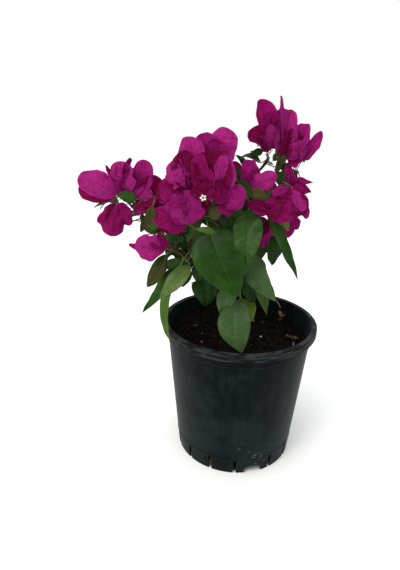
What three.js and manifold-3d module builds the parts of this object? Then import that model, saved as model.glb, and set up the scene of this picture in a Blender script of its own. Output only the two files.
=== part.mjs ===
// A bougainvillea in a black nursery pot.
// Millimetres, +Z up. The origin is the centre of the flat underside of the pot,
// and the front of the plant looks along -Y.

import * as THREE from 'three';
import { mergeVertices } from 'three/addons/utils/BufferGeometryUtils.js';
import Module from 'manifold-3d';

const wasm = await Module();
wasm.setup();

// ---------------------------------------------------------------- driving sizes

const pot = {
  height: 185,
  rimRadius: 100, // outside of the turned-down skirt
  mouthRadius: 92.9,
  shoulderRadius: 94.4, // ring that the next pot of a stack rests on
  shoulderZ: 165,
  wallTopRadius: 92.5,
  baseRadius: 77,
  baseCorner: 4,
  wall: 1.5,
  floor: 2.5,
  skirtDrop: 9.5,
  skirtWall: 1.6,
  lipRound: 2.2,
  sides: 32,
};

const drain = {
  notchTurn: 16, // degrees from the front towards +X; the twin notch is opposite
  notchWidth: 23,
  notchHeight: 10.5,
  firstSlot: 18, // first slot, counted from a notch
  slotStep: 24,
  slotsPerHalf: 7,
  slotWidth: 4.4,
  slotHeight: 20.5,
  slotReach: 7, // how far a slot runs in under the floor
};

const soil = {
  level: 163.5,
  fall: 0.05, // drop for each mm towards +X
  unevenness: 1.4,
  footClearance: 16, // level ground round the trunk
  rings: 4,
};

const foot = new THREE.Vector3(-6, 4, soil.level + 0.6);
const gap = 0.35; // air between neighbours that touch
const limbSides = 7;

const blade = {
  thickness: 1.4,
  bellyTowardStalk: 0.72, // under 1 moves the widest place towards the stalk
  roundness: 0.8, // under 1 fills the outline out
  tipNarrowing: 0.35,
  widthScale: 0.58, // brings the widest place to the stated width
  tipHalfWidth: 1,
};

const egg = {
  around: 7,
  along: 5,
  unevenness: 0.12,
  unevenWavelength: 1.9, // in radii of the egg
  tipNarrowing: 0.18,
};

// ---------------------------------------------------------------- solids and meshes

function solidOf(geometry) {
  const bare = geometry.clone();
  bare.deleteAttribute('normal');
  bare.deleteAttribute('uv');
  const merged = mergeVertices(bare, 1e-4);
  const vertProperties = Float32Array.from(merged.attributes.position.array);
  const triVerts = Uint32Array.from(merged.index.array);
  return new wasm.Manifold(new wasm.Mesh({ numProp: 3, vertProperties, triVerts }));
}

function geometryOf(solid) {
  const { vertProperties, triVerts } = solid.getMesh();
  const geometry = new THREE.BufferGeometry();
  geometry.setAttribute('position', new THREE.BufferAttribute(Float32Array.from(vertProperties), 3));
  geometry.setIndex(new THREE.BufferAttribute(Uint32Array.from(triVerts), 1));
  geometry.computeVertexNormals();
  return geometry;
}

function largestPiece(solid) {
  const pieces = solid.decompose();
  return pieces.reduce((best, piece) => (piece.volume() > best.volume() ? piece : best));
}

function boxesMeet(a, b) {
  const one = a.boundingBox();
  const two = b.boundingBox();
  return [0, 1, 2].every((i) => one.min[i] < two.max[i] && two.min[i] < one.max[i]);
}

// Smooth unevenness between -1 and 1 from a point in space.
function wobble(point, wavelength, seed) {
  const k = (2 * Math.PI) / wavelength;
  const a = Math.sin(k * point.x + 1.7 * seed) * Math.cos(k * point.y - 0.9 * seed);
  const b = Math.sin(k * 1.6 * point.z + 2.3 * seed) * Math.cos(k * 1.3 * point.x + seed);
  return 0.6 * a + 0.4 * b;
}

function moveVertices(geometry, place) {
  const position = geometry.attributes.position;
  const point = new THREE.Vector3();
  for (let i = 0; i < position.count; i += 1) {
    point.fromBufferAttribute(position, i);
    place(point);
    position.setXYZ(i, point.x, point.y, point.z);
  }
  return geometry;
}

function vector(list) {
  return new THREE.Vector3(...list);
}

// ---------------------------------------------------------------- pot and soil

function innerRadiusAt(z) {
  const slope = (pot.wallTopRadius - pot.baseRadius) / pot.shoulderZ;
  return pot.baseRadius - pot.wall + slope * z;
}

// The bottom of the pot's hollow, from the axis out to the wall, drawn in by a clearance.
function cavityFoot(clearance) {
  const bevel = 4;
  const wallFoot = pot.floor + bevel;
  return [
    new THREE.Vector2(0, pot.floor + clearance),
    new THREE.Vector2(innerRadiusAt(wallFoot) - bevel - clearance / 2, pot.floor + clearance),
    new THREE.Vector2(innerRadiusAt(wallFoot) - clearance, wallFoot + clearance / 2),
  ];
}

function arcPoints(centreR, centreZ, radius, fromDegrees, toDegrees, steps) {
  const points = [];
  for (let i = 0; i <= steps; i += 1) {
    const angle = THREE.MathUtils.degToRad(fromDegrees + ((toDegrees - fromDegrees) * i) / steps);
    points.push(new THREE.Vector2(centreR + radius * Math.cos(angle), centreZ + radius * Math.sin(angle)));
  }
  return points;
}

// A lathe turns about Y, so its result is stood up along Z.
function turned(profile, sides) {
  return new THREE.LatheGeometry(profile, sides).rotateX(Math.PI / 2);
}

function potSolid() {
  const lipTop = pot.height - pot.lipRound;
  const skirtFoot = pot.height - pot.skirtDrop;
  const profile = [
    new THREE.Vector2(0, 0),
    ...arcPoints(pot.baseRadius - pot.baseCorner, pot.baseCorner, pot.baseCorner, -90, 0, 2),
    new THREE.Vector2(pot.wallTopRadius, pot.shoulderZ),
    new THREE.Vector2(pot.shoulderRadius, pot.shoulderZ + 0.6),
    new THREE.Vector2(pot.shoulderRadius, pot.height - pot.skirtWall),
    new THREE.Vector2(pot.rimRadius - pot.skirtWall, pot.height - pot.skirtWall - 1),
    new THREE.Vector2(pot.rimRadius - pot.skirtWall, skirtFoot),
    new THREE.Vector2(pot.rimRadius, skirtFoot),
    ...arcPoints(pot.rimRadius - pot.lipRound, lipTop, pot.lipRound, 0, 90, 2),
    new THREE.Vector2(pot.mouthRadius + 0.8, pot.height),
    new THREE.Vector2(pot.mouthRadius, pot.height - 0.8),
    new THREE.Vector2(innerRadiusAt(pot.shoulderZ), pot.shoulderZ),
    ...cavityFoot(0).reverse(),
  ];
  return solidOf(turned(profile, pot.sides));
}

// An upright box through the pot's edge, facing the given turn from the front.
function edgeCutter(turn, width, height, reach) {
  const depth = reach + 12;
  const cutter = new THREE.BoxGeometry(width, depth, height * 2);
  cutter.translate(0, -(pot.baseRadius - reach + depth / 2), 0);
  cutter.rotateZ(THREE.MathUtils.degToRad(turn));
  return solidOf(cutter);
}

function drainedPot() {
  let solid = potSolid();
  for (const half of [0, 180]) {
    const notch = drain.notchTurn + half;
    solid = solid.subtract(edgeCutter(notch, drain.notchWidth, drain.notchHeight, drain.slotReach / 2));
    for (let i = 0; i < drain.slotsPerHalf; i += 1) {
      const turn = notch + drain.firstSlot + drain.slotStep * i;
      solid = solid.subtract(edgeCutter(turn, drain.slotWidth, drain.slotHeight, drain.slotReach));
    }
  }
  return solid;
}

function soilHeight(x, y) {
  const fromFoot = Math.hypot(x - foot.x, y - foot.y) / soil.footClearance;
  const share = THREE.MathUtils.smoothstep(fromFoot, 0.8, 1.8);
  const point = new THREE.Vector3(x, y, 0);
  return soil.level + share * (soil.unevenness * wobble(point, 62, 3) - soil.fall * x);
}

// The soil fills the pot to its uneven top.
function soilSolid() {
  const shoulder = soil.level - 8;
  const topRadius = innerRadiusAt(shoulder) - gap;
  const profile = [...cavityFoot(gap), new THREE.Vector2(topRadius, shoulder)];
  for (let i = 0; i <= soil.rings; i += 1) {
    profile.push(new THREE.Vector2(topRadius * (1 - i / soil.rings), soil.level));
  }
  const geometry = turned(profile, pot.sides);
  return moveVertices(geometry, (point) => {
    if (point.z > soil.level - 0.5) point.z = soilHeight(point.x, point.y);
  });
}

// ---------------------------------------------------------------- limbs

// A tapering limb: a turned cone whose axis is then bent along its route.
// The foot of a limb may flare out over its first two steps.
function limbGeometry({ route, thick, thin, flare = 1, steps = 6 }, grow = 0) {
  const curve = new THREE.CatmullRomCurve3(route.map(vector));
  const frames = curve.computeFrenetFrames(steps);
  const profile = [new THREE.Vector2(0, 0)];
  for (let i = 0; i <= steps; i += 1) {
    const swell = 1 + (flare - 1) * Math.max(0, 1 - i / 2);
    const radius = THREE.MathUtils.lerp(thick, thin, i / steps) / 2;
    profile.push(new THREE.Vector2(radius * swell + grow, i));
  }
  profile.push(new THREE.Vector2(0, steps));
  const cone = new THREE.LatheGeometry(profile, limbSides);
  return moveVertices(cone, (point) => {
    const step = Math.round(point.y);
    const centre = curve.getPointAt(step / steps);
    centre.addScaledVector(frames.normals[step], point.z);
    centre.addScaledVector(frames.binormals[step], point.x);
    point.copy(centre);
  });
}

const fork = [-34, 2, 226];
const elbow = [-69, 0, 268];
const upperFork = [-25, 8, 322];

const limbs = {
  trunk: {
    route: [foot.toArray(), [foot.x, foot.y, foot.z + 5], [-9, 4, 178], [-18, 3, 200], fork],
    thick: 12.5,
    thin: 9.5,
    flare: 1.5,
  },
  bough_left_lower: { route: [fork, [-52, 1, 248], elbow], thick: 8.4, thin: 7, steps: 4 },
  bough_left_outer: {
    route: [elbow, [-93, -8, 291], [-114, -10, 313], [-134, -16, 333], [-145, -20, 346]],
    thick: 5,
    thin: 2.6,
  },
  bough_centre: {
    route: [elbow, [-64, -5, 300], [-56, -12, 332], [-50, -20, 352]],
    thick: 5,
    thin: 3,
  },
  bough_right_lower: {
    route: [fork, [-28, 4, 258], [-28, 6, 295], upperFork],
    thick: 7.6,
    thin: 6.2,
  },
  bough_right_upper: {
    route: [upperFork, [-6, 11, 349], [13, 11, 371], [26, 8, 390]],
    thick: 4.6,
    thin: 2.8,
  },
  bough_right_side: {
    route: [upperFork, [4, 13, 330], [27, 8, 340], [43, -2, 356]],
    thick: 4.2,
    thin: 2.6,
  },
  bough_back: {
    route: [fork, [-42, 22, 262], [-36, 42, 298], [-30, 52, 330]],
    thick: 6,
    thin: 3.2,
  },
  bough_back_left: {
    route: [elbow, [-80, 18, 288], [-84, 32, 314]],
    thick: 4.2,
    thin: 2.8,
    steps: 4,
  },
};

// ---------------------------------------------------------------- leaves

// A leaf is a flat box whose grid is bent into an egg-shaped blade with a drawn-out tip.
// face points away from the upper side, bow lifts the middle and fold closes the halves.
function leafGeometry({ from, to, width, face = [0, -1, 0.3], bow = 6, fold = 0.15 }, grow = 0) {
  const start = vector(from);
  const along = vector(to).sub(start);
  const across = new THREE.Vector3().crossVectors(along, vector(face)).normalize();
  const normal = new THREE.Vector3().crossVectors(across, along).normalize();
  const slab = new THREE.BoxGeometry(2, 1, blade.thickness + 2 * grow, 2, 6, 1).translate(0, 0.5, 0);
  return moveVertices(slab, (point) => {
    const t = point.y;
    const arch = Math.sin(Math.PI * t ** blade.bellyTowardStalk) ** blade.roundness;
    const halfWidth = blade.tipHalfWidth + blade.widthScale * width * arch * (1 - blade.tipNarrowing * t);
    const reach = point.x * (halfWidth + grow);
    const lift = 4 * bow * t * (1 - t) + fold * Math.abs(reach) + point.z;
    point.copy(start).addScaledVector(along, t);
    point.addScaledVector(across, reach).addScaledVector(normal, lift);
  });
}

const leaves = {
  leaf_front_large: {
    from: [-44, -46, 317],
    to: [-11, -80, 248],
    width: 62,
    face: [0.1, -1, 0.55],
    bow: 7,
    fold: 0.08,
  },
  leaf_front_right: {
    from: [1, -36, 336],
    to: [-4, -66, 278],
    width: 31,
    face: [-0.2, -1, 0.6],
    bow: 6,
  },
  leaf_wavy: { from: [1, -34, 286], to: [37, -50, 232], width: 30, face: [0.1, -1, 0.5], bow: 2 },
  leaf_curled_tip: { from: [16, -24, 246], to: [30, -38, 209], width: 16, bow: 3 },
  leaf_right_long: {
    from: [25, -26, 331],
    to: [56, -46, 267],
    width: 18,
    face: [0.5, -1, 0.4],
    bow: 2,
  },
  leaf_right_small: { from: [33, -6, 300], to: [36, -12, 263], width: 18, bow: 3 },
  leaf_low_front: { from: [-5, -46, 232], to: [-1, -76, 176], width: 36, face: [0, -1, 0.5] },
  leaf_low_yellow: { from: [0, -24, 222], to: [13, -38, 199], width: 24, bow: 3 },
  leaf_low_middle: { from: [-14, -40, 248], to: [-27, -54, 212], width: 28, bow: 4 },
  leaf_low_left: { from: [-50, -14, 248], to: [-43, -22, 210], width: 28, bow: 4 },
  leaf_left_light: {
    from: [-66, -28, 266],
    to: [-99, -54, 232],
    width: 24,
    face: [-0.4, -1, 0.9],
    bow: 12,
  },
  leaf_left_outer: {
    from: [-76, -20, 268],
    to: [-118, -40, 213],
    width: 15,
    face: [-0.9, -1, 0.9],
    bow: 10,
  },
  leaf_left_hanging: {
    from: [-78, -36, 263],
    to: [-85, -72, 186],
    width: 14,
    face: [-1, -0.6, 0.4],
    bow: 13,
  },
  leaf_left_small: { from: [-64, -6, 252], to: [-75, -10, 231], width: 10, bow: 2 },
  leaf_left_dark: { from: [-95, -2, 270], to: [-121, -2, 229], width: 17, bow: 5 },
  leaf_top_olive: { from: [15, 4, 384], to: [-9, 3, 390], width: 12, face: [0, -0.5, 1], bow: 4 },
  leaf_bronze: {
    from: [-1, -16, 353],
    to: [28, -16, 337],
    width: 16,
    face: [0.3, -0.7, 1],
    bow: 4,
  },
  leaf_tip_thin: {
    from: [-157, -24, 341],
    to: [-176, -26, 333],
    width: 6,
    face: [0, -0.4, 1],
    bow: 2,
  },
  leaf_back_large: { from: [-22, 50, 306], to: [6, 92, 254], width: 50, face: [0.2, 1, 0.5] },
  leaf_back_middle: { from: [-42, 44, 290], to: [-64, 80, 240], width: 42, face: [-0.2, 1, 0.5] },
  leaf_back_right: { from: [0, 30, 292], to: [30, 58, 246], width: 36, face: [0.7, 1, 0.5] },
  leaf_back_left: { from: [-72, 24, 286], to: [-98, 46, 250], width: 30, face: [-0.8, 1, 0.5] },
  leaf_back_low: { from: [-28, 22, 240], to: [-10, 48, 200], width: 34, face: [0.2, 1, 0.5] },
  leaf_back_lowest: { from: [-44, 18, 232], to: [-58, 40, 196], width: 26, face: [-0.4, 1, 0.5] },
};

// ---------------------------------------------------------------- blossom masses

// One lobe of a mass: an uneven egg from its stalk end to its tip, broad across and thin in depth.
function lobeSolid([from, to, width, depth], seed, grow) {
  const start = vector(from);
  const along = vector(to).sub(start);
  const length = along.length();
  const across = new THREE.Vector3().crossVectors(along, new THREE.Vector3(0, -1, 0.35)).normalize();
  const normal = new THREE.Vector3().crossVectors(across, along).normalize();
  const lobe = new THREE.SphereGeometry(1, egg.around, egg.along);
  moveVertices(lobe, (point) => {
    const lump = 1 + egg.unevenness * wobble(point, egg.unevenWavelength, seed);
    const taper = 1 - egg.tipNarrowing * point.y;
    const lengthwise = point.y * (length / 2 + grow);
    const sideways = point.x * lump * taper * (width / 2 + grow);
    const outward = point.z * lump * taper * (depth / 2 + grow);
    point.copy(start).addScaledVector(along, 0.5 + lengthwise / length);
    point.addScaledVector(across, sideways).addScaledVector(normal, outward);
  });
  return solidOf(lobe);
}

function massSolid(lobes, seed, grow = 0) {
  return lobes
    .map((lobe, i) => lobeSolid(lobe, seed + i, grow))
    .reduce((whole, lobe) => whole.add(lobe));
}

// Lobes: stalk end, tip, breadth, depth.
const masses = {
  bracts_left_tip: [
    [[-146, -24, 350], [-193, -36, 367], 31, 13],
    [[-150, -26, 346], [-189, -30, 343], 17, 11],
  ],
  bracts_left_upright: [
    [[-141, -20, 344], [-149, -20, 384], 27, 12],
    [[-149, -18, 356], [-158, -18, 378], 7, 7],
    [[-138, -18, 358], [-131, -19, 388], 8, 7],
  ],
  bracts_left_inner: [
    [[-126, -14, 338], [-119, -14, 382], 27, 13],
    [[-127, -14, 372], [-107, -14, 381], 10, 8],
    [[-108, -16, 352], [-128, -21, 325], 24, 13],
    [[-112, -10, 336], [-98, -8, 367], 26, 13],
  ],
  bracts_left_hanging: [
    [[-148, -24, 341], [-149, -34, 301], 37, 15],
    [[-152, -32, 312], [-164, -36, 301], 12, 8],
  ],
  bracts_left_low: [
    [[-92, -38, 287], [-127, -58, 297], 28, 14],
    [[-122, -55, 295], [-137, -60, 299], 5, 5],
  ],
  bracts_centre_left: [
    [[-54, -38, 348], [-94, -56, 330], 34, 15],
    [[-62, -42, 340], [-84, -52, 306], 32, 13],
    [[-68, -46, 340], [-119, -40, 324], 32, 12],
  ],
  bracts_centre_side: [
    [[-58, -38, 364], [-93, -48, 379], 27, 13],
    [[-58, -40, 362], [-88, -48, 355], 22, 12],
  ],
  bracts_centre_upper: [[[-60, -26, 366], [-71, -28, 414], 27, 13]],
  bracts_centre_top: [
    [[-40, -14, 380], [-50, -18, 419], 26, 13],
    [[-34, -16, 382], [-22, -20, 425], 34, 14],
  ],
  bracts_centre_open: [
    [[-42, -46, 348], [-38, -42, 403], 40, 18],
    [[-42, -48, 358], [-62, -58, 363], 11, 8],
  ],
  bracts_centre_lobe: [[[-28, -50, 370], [-15, -64, 340], 30, 14]],
  bracts_top_tall: [
    [[23, 2, 398], [13, 0, 454], 27, 12],
    [[29, 6, 404], [34, 12, 457], 6, 6],
  ],
  bracts_top_left: [
    [[20, -10, 402], [0, -18, 424], 14, 10],
    [[25, -10, 398], [23, -20, 425], 24, 12],
  ],
  bracts_top_middle: [
    [[38, 4, 398], [45, 4, 445], 27, 14],
    [[46, 4, 396], [61, 8, 436], 22, 12],
    [[38, 2, 408], [44, -4, 382], 30, 12],
  ],
  bracts_top_right: [
    [[60, -4, 390], [84, -12, 421], 15, 10],
    [[61, -6, 387], [52, -14, 416], 16, 10],
  ],
  bracts_middle_cup: [
    [[16, -14, 366], [-11, -24, 374], 22, 11],
    [[8, -20, 362], [29, -27, 382], 20, 11],
    [[10, -16, 374], [11, -32, 355], 30, 12],
  ],
  bracts_right_upper: [
    [[42, 0, 386], [56, -8, 358], 19, 12],
    [[46, -8, 366], [77, -12, 368], 11, 8],
    [[46, -8, 366], [75, -14, 354], 10, 8],
  ],
  bracts_right_large: [
    [[43, -26, 362], [34, -48, 326], 33, 15],
    [[50, -26, 371], [62, -44, 336], 17, 12],
    [[58, -38, 348], [67, -44, 331], 7, 6],
  ],
  bracts_right_low: [
    [[48, -12, 332], [62, -16, 311], 11, 9],
    [[49, -12, 326], [52, -14, 300], 9, 8],
  ],
  bracts_right_inner: [[[27, 2, 322], [21, -8, 284], 25, 13]],
  bracts_back_centre: [
    [[-26, 48, 332], [-46, 66, 380], 42, 28],
    [[-28, 50, 330], [-2, 68, 364], 38, 24],
  ],
  bracts_back_left: [
    [[-82, 28, 312], [-106, 44, 340], 38, 26],
    [[-86, 30, 314], [-68, 52, 346], 36, 24],
  ],
  bracts_back_right: [
    [[22, 20, 336], [52, 40, 344], 38, 26],
    [[26, 20, 338], [14, 42, 374], 34, 24],
  ],
  bracts_back_top: [[[-32, 10, 352], [-46, 32, 396], 40, 28]],
};

// ---------------------------------------------------------------- assembly

const finishes = {
  pot: { color: 0x2a3031, roughness: 0.55 },
  soil: { color: 0x17110c, roughness: 1 },
  wood: { color: 0x3d2e20, roughness: 0.9 },
  leaf: { color: 0x35502a, roughness: 0.55 },
  bract: { color: 0x9c1f76, roughness: 0.7 },
};

const bougainvillea = new THREE.Group();
const placed = []; // each neighbour, grown by the gap, for the later pieces to be cut by

function addPiece(name, solid, finish) {
  const material = new THREE.MeshStandardMaterial({ ...finishes[finish], metalness: 0 });
  const mesh = new THREE.Mesh(geometryOf(solid), material);
  mesh.name = name;
  bougainvillea.add(mesh);
}

// Cuts a piece clear of the pieces placed before it, then adds it.
function addCutPiece(name, solid, grown, finish) {
  const neighbours = placed.filter((other) => boxesMeet(solid, other));
  const cut = neighbours.reduce((rest, other) => rest.subtract(other), solid);
  addPiece(name, largestPiece(cut), finish);
  placed.push(grown);
}

addPiece('pot', drainedPot(), 'pot');
addPiece('soil', solidOf(soilSolid()), 'soil');

for (const [name, limb] of Object.entries(limbs)) {
  addCutPiece(name, solidOf(limbGeometry(limb)), solidOf(limbGeometry(limb, gap)), 'wood');
}
for (const [name, leaf] of Object.entries(leaves)) {
  addCutPiece(name, solidOf(leafGeometry(leaf)), solidOf(leafGeometry(leaf, gap)), 'leaf');
}
Object.entries(masses).forEach(([name, lobes], i) => {
  addCutPiece(name, massSolid(lobes, 5 * i), massSolid(lobes, 5 * i, gap), 'bract');
});

export default bougainvillea;
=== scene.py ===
# Potted bougainvillea bush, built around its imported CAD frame. Blender 4.5.
import math
import random

import bpy
import numpy as np
from mathutils import Matrix, Vector


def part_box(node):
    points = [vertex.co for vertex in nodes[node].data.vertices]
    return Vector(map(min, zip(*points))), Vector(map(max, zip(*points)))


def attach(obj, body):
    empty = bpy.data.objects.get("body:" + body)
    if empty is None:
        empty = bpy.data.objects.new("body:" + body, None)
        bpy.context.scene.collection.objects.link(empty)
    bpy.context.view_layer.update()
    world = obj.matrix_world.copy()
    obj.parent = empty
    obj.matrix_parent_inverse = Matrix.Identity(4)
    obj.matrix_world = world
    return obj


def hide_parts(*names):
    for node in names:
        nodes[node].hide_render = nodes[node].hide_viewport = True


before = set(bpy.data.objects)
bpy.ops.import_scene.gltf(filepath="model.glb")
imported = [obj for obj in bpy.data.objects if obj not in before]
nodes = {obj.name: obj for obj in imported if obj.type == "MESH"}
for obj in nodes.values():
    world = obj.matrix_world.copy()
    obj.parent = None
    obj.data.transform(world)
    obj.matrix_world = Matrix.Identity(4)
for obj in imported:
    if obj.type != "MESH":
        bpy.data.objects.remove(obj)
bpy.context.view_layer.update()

mm = 0.001  # every size below is in millimetres, every mesh is stored in metres
up = np.array([0.0, 0.0, 1.0])
front = np.array([0.0, -1.0, 0.0])
leafTurn = 137.5  # degrees from one leaf to the next round a stem


# small helpers

def vec(*values):
    return np.array(values, float)


def unit(vector):
    return vector / max(np.linalg.norm(vector), 1e-9)


def heading(azimuth, elevation):
    # azimuth 0 points to +X and -90 to the front, elevation is up from level
    a, e = math.radians(azimuth), math.radians(elevation)
    return vec(math.cos(a) * math.cos(e), math.sin(a) * math.cos(e), math.sin(e))


def turned(vector, axis, degrees):
    return np.array(Matrix.Rotation(math.radians(degrees), 3, Vector(axis)) @ Vector(vector))


def placeIn(node, share):
    # a point at the given share of a CAD node's box, in millimetres
    low, high = (np.array(corner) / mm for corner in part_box(node))
    return low + (high - low) * np.array(share)


def readRows(owner, attribute, width, kind=float):
    # one attribute of all vertices, normals or edges, a row for each
    values = np.empty(len(owner) * width, kind)
    owner.foreach_get(attribute, values)
    return values.reshape(-1, width)


def nodePoints(node):
    return readRows(nodes[node].data.vertices, "co", 3) / mm


def stretched(values, count):
    # the same run of values, read at this many even steps
    return np.interp(np.linspace(0, 1, count), np.linspace(0, 1, len(values)), values)


def smoothNoise(points, wavelength, seed, waves=5):
    # a smooth random field in about -1..1: a few sine waves in seeded directions
    rng = np.random.default_rng(seed)
    total = np.zeros(points.shape[:-1])
    for wave in range(waves):
        direction = unit(rng.normal(size=3)) * rng.uniform(0.7, 1.5)
        total += np.sin(points @ direction * (2 * math.pi / wavelength) + rng.uniform(0, 2 * math.pi))
    return total / waves ** 0.5 / 1.4


def addObject(name, data):
    thing = bpy.data.objects.new(name, data)
    bpy.context.scene.collection.objects.link(thing)
    return thing


# meshes

class Pile:
    # collects the vertices and faces of many small things that become one piece

    def __init__(self):
        self.points = []
        self.count = 0
        self.faces = {corners: [np.empty((0, corners), int)] for corners in (3, 4)}
        self.tones = {corners: [np.empty(0, int)] for corners in (3, 4)}

    def add(self, points, *faceSets):
        # a face set is an array of triangles or of quads, and their tones
        for faces, tones in faceSets:
            corners = faces.shape[1]
            self.faces[corners].append(faces + self.count)
            self.tones[corners].append(np.broadcast_to(tones, len(faces)))
        self.points.append(np.reshape(points, (-1, 3)))
        self.count += len(self.points[-1])


def makePiece(name, pile, materials, replaced=(), smooth=True):
    quads, triangles = np.concatenate(pile.faces[4]), np.concatenate(pile.faces[3])
    points = np.concatenate(pile.points) * mm
    corners = np.concatenate([quads.ravel(), triangles.ravel()])
    starts = np.concatenate([np.arange(len(quads)) * 4, quads.size + np.arange(len(triangles)) * 3])
    tones = np.concatenate(pile.tones[4] + pile.tones[3])
    mesh = bpy.data.meshes.new(name)
    mesh.vertices.add(len(points))
    mesh.vertices.foreach_set("co", points.astype(np.float32).ravel())
    mesh.loops.add(len(corners))
    mesh.loops.foreach_set("vertex_index", corners.astype(np.int32))
    mesh.polygons.add(len(starts))
    mesh.polygons.foreach_set("loop_start", starts.astype(np.int32))
    mesh.polygons.foreach_set("material_index", tones.astype(np.int32))
    mesh.polygons.foreach_set("use_smooth", np.full(len(starts), smooth))
    for material in materials:
        mesh.materials.append(material)
    mesh.update(calc_edges=True)
    mesh.validate()
    piece = addObject(name, mesh)
    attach(piece, "root")
    if replaced:
        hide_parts(*replaced)
    print(f"made {name}: {len(quads) * 2 + len(triangles)} triangles")
    return piece


def gridQuads(rows, columns, closed=False):
    # faces of a grid of points; closed joins the last column to the first
    across = columns if closed else columns - 1
    row, column = np.meshgrid(np.arange(rows - 1), np.arange(across), indexing="ij")
    following = (column + 1) % columns
    corners = (row * columns + column, row * columns + following,
               (row + 1) * columns + following, (row + 1) * columns + column)
    return np.stack(corners, -1).reshape(-1, 4)


def addRings(pile, rings, ends, tones=0, endTone=0):
    # a closed skin over rings of points, with a fan to a point at either end
    rows, sides = rings.shape[:2]
    ring = np.arange(sides)
    following = (ring + 1) % sides
    last = (rows - 1) * sides
    firstFan = np.stack([following, ring, np.full(sides, rows * sides)], 1)
    lastFan = np.stack([last + ring, last + following, np.full(sides, rows * sides + 1)], 1)
    pile.add(np.concatenate([rings.reshape(-1, 3), ends]), (gridQuads(rows, sides, True), tones),
             (np.concatenate([firstFan, lastFan]), endTone))


def smoothRoute(points, count):
    # count points on the Catmull-Rom curve through the given ones
    points = np.asarray(points, float)
    padded = np.concatenate([[2 * points[0] - points[1]], points, [2 * points[-1] - points[-2]]])
    spot = np.linspace(0, len(points) - 1, count)
    index = np.minimum(spot.astype(int), len(points) - 2)
    t = (spot - index)[:, None]
    a, b, c, d = (padded[index + shift] for shift in range(4))
    return 0.5 * (2 * b + (c - a) * t + (2 * a - 5 * b + 4 * c - d) * t ** 2
                  + (3 * b - a - 3 * c + d) * t ** 3)


def addTube(pile, route, radii, sides=8, tone=0, bumps=None):
    # rings of points round a route, with no twist from one to the next
    tangents = np.gradient(route, axis=0)
    tangents /= np.linalg.norm(tangents, axis=1)[:, None]
    side = unit(np.cross(tangents[0], vec(0.3, 0.9, 0.2)))
    angles = np.arange(sides) * 2 * math.pi / sides
    rings = []
    for place, tangent, radius in zip(route, tangents, np.broadcast_to(radii, len(route))):
        side = unit(side - tangent * (side @ tangent))
        other = np.cross(tangent, side)
        rings.append(place + radius * (np.cos(angles)[:, None] * side + np.sin(angles)[:, None] * other))
    rings = np.array(rings)
    if bumps is not None:
        outward = rings - route[:, None]
        rings = rings + outward / np.linalg.norm(outward, axis=2)[..., None] * bumps(rings)[..., None]
    addRings(pile, rings, [route[0], route[-1]], tone, tone)


# materials

def linear(colour):
    channels = [int(colour[at:at + 2], 16) / 255 for at in (1, 3, 5)]
    return tuple(c / 12.92 if c <= 0.04045 else ((c + 0.055) / 1.055) ** 2.4 for c in channels) + (1.0,)


def addNode(tree, kind, values=None):
    # each value is a number for a socket or a property, or the node or the output that feeds a socket
    node = tree.nodes.new("ShaderNode" + kind)
    for name, value in (values or {}).items():
        if isinstance(value, bpy.types.Node):
            value = next(output for output in value.outputs if output.enabled)
        if isinstance(value, bpy.types.NodeSocket):
            tree.links.new(value, node.inputs[name])
        elif isinstance(name, int) or name in node.inputs:
            node.inputs[name].default_value = value
        else:
            setattr(node, name, value)
    return node


def newMaterial(name):
    material = bpy.data.materials.new(name)
    material.use_nodes = True
    tree = material.node_tree
    tree.nodes.clear()
    return material, tree, addNode(tree, "TexCoord").outputs["Object"]


def finished(material, colour, relief, settings):
    # the shader, with a colour, fixed values and a relief: height, strength and depth in mm
    tree = material.node_tree
    height, strength, depth = relief
    bump = addNode(tree, "Bump", {"Height": height, "Strength": strength, "Distance": depth * mm})
    shader = addNode(tree, "BsdfPrincipled", {"Base Color": colour, "Normal": bump, **settings})
    addNode(tree, "OutputMaterial", {"Surface": shader})
    return material


def blendColours(tree, factor, first, second):
    # a colour is a hex value or the node that gives it
    first, second = (linear(colour) if isinstance(colour, str) else colour for colour in (first, second))
    return addNode(tree, "Mix", {"data_type": "RGBA", 0: factor, 6: first, 7: second})


def perMetre(millimetres):
    # the scale of a noise or cell node whose features are this far apart
    return 1000 / millimetres


def waxyLeaf(name, main, other, underside=False):
    # living leaf, waxy above and matt below: broad soft highlights over a faintly mottled green
    material, tree, place = newMaterial(name)
    mottle = addNode(tree, "TexNoise", {
        "Vector": place, "Scale": perMetre(24), "Detail": 6.0, "Roughness": 0.55})
    patches = addNode(tree, "MapRange", {"Value": mottle, "From Min": 0.36, "From Max": 0.66})
    roughness = 0.55
    if not underside:
        roughness = addNode(tree, "MapRange", {"Value": mottle, "To Min": 0.3, "To Max": 0.46})
    # the cells are 0.1 mm across, too fine to show, so the grain is coarser
    grain = addNode(tree, "TexNoise", {"Vector": place, "Scale": perMetre(1.4), "Detail": 3.0})
    return finished(material, blendColours(tree, patches, main, other), (grain, 0.25, 0.25), {
        "Roughness": roughness,
        "IOR": 1.45,
        "Specular IOR Level": 0.1 if underside else 0.17,
        "Subsurface Weight": 0.12,
        "Subsurface Radius": (0.5, 1.0, 0.2),
        "Subsurface Scale": 0.0012})


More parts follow.
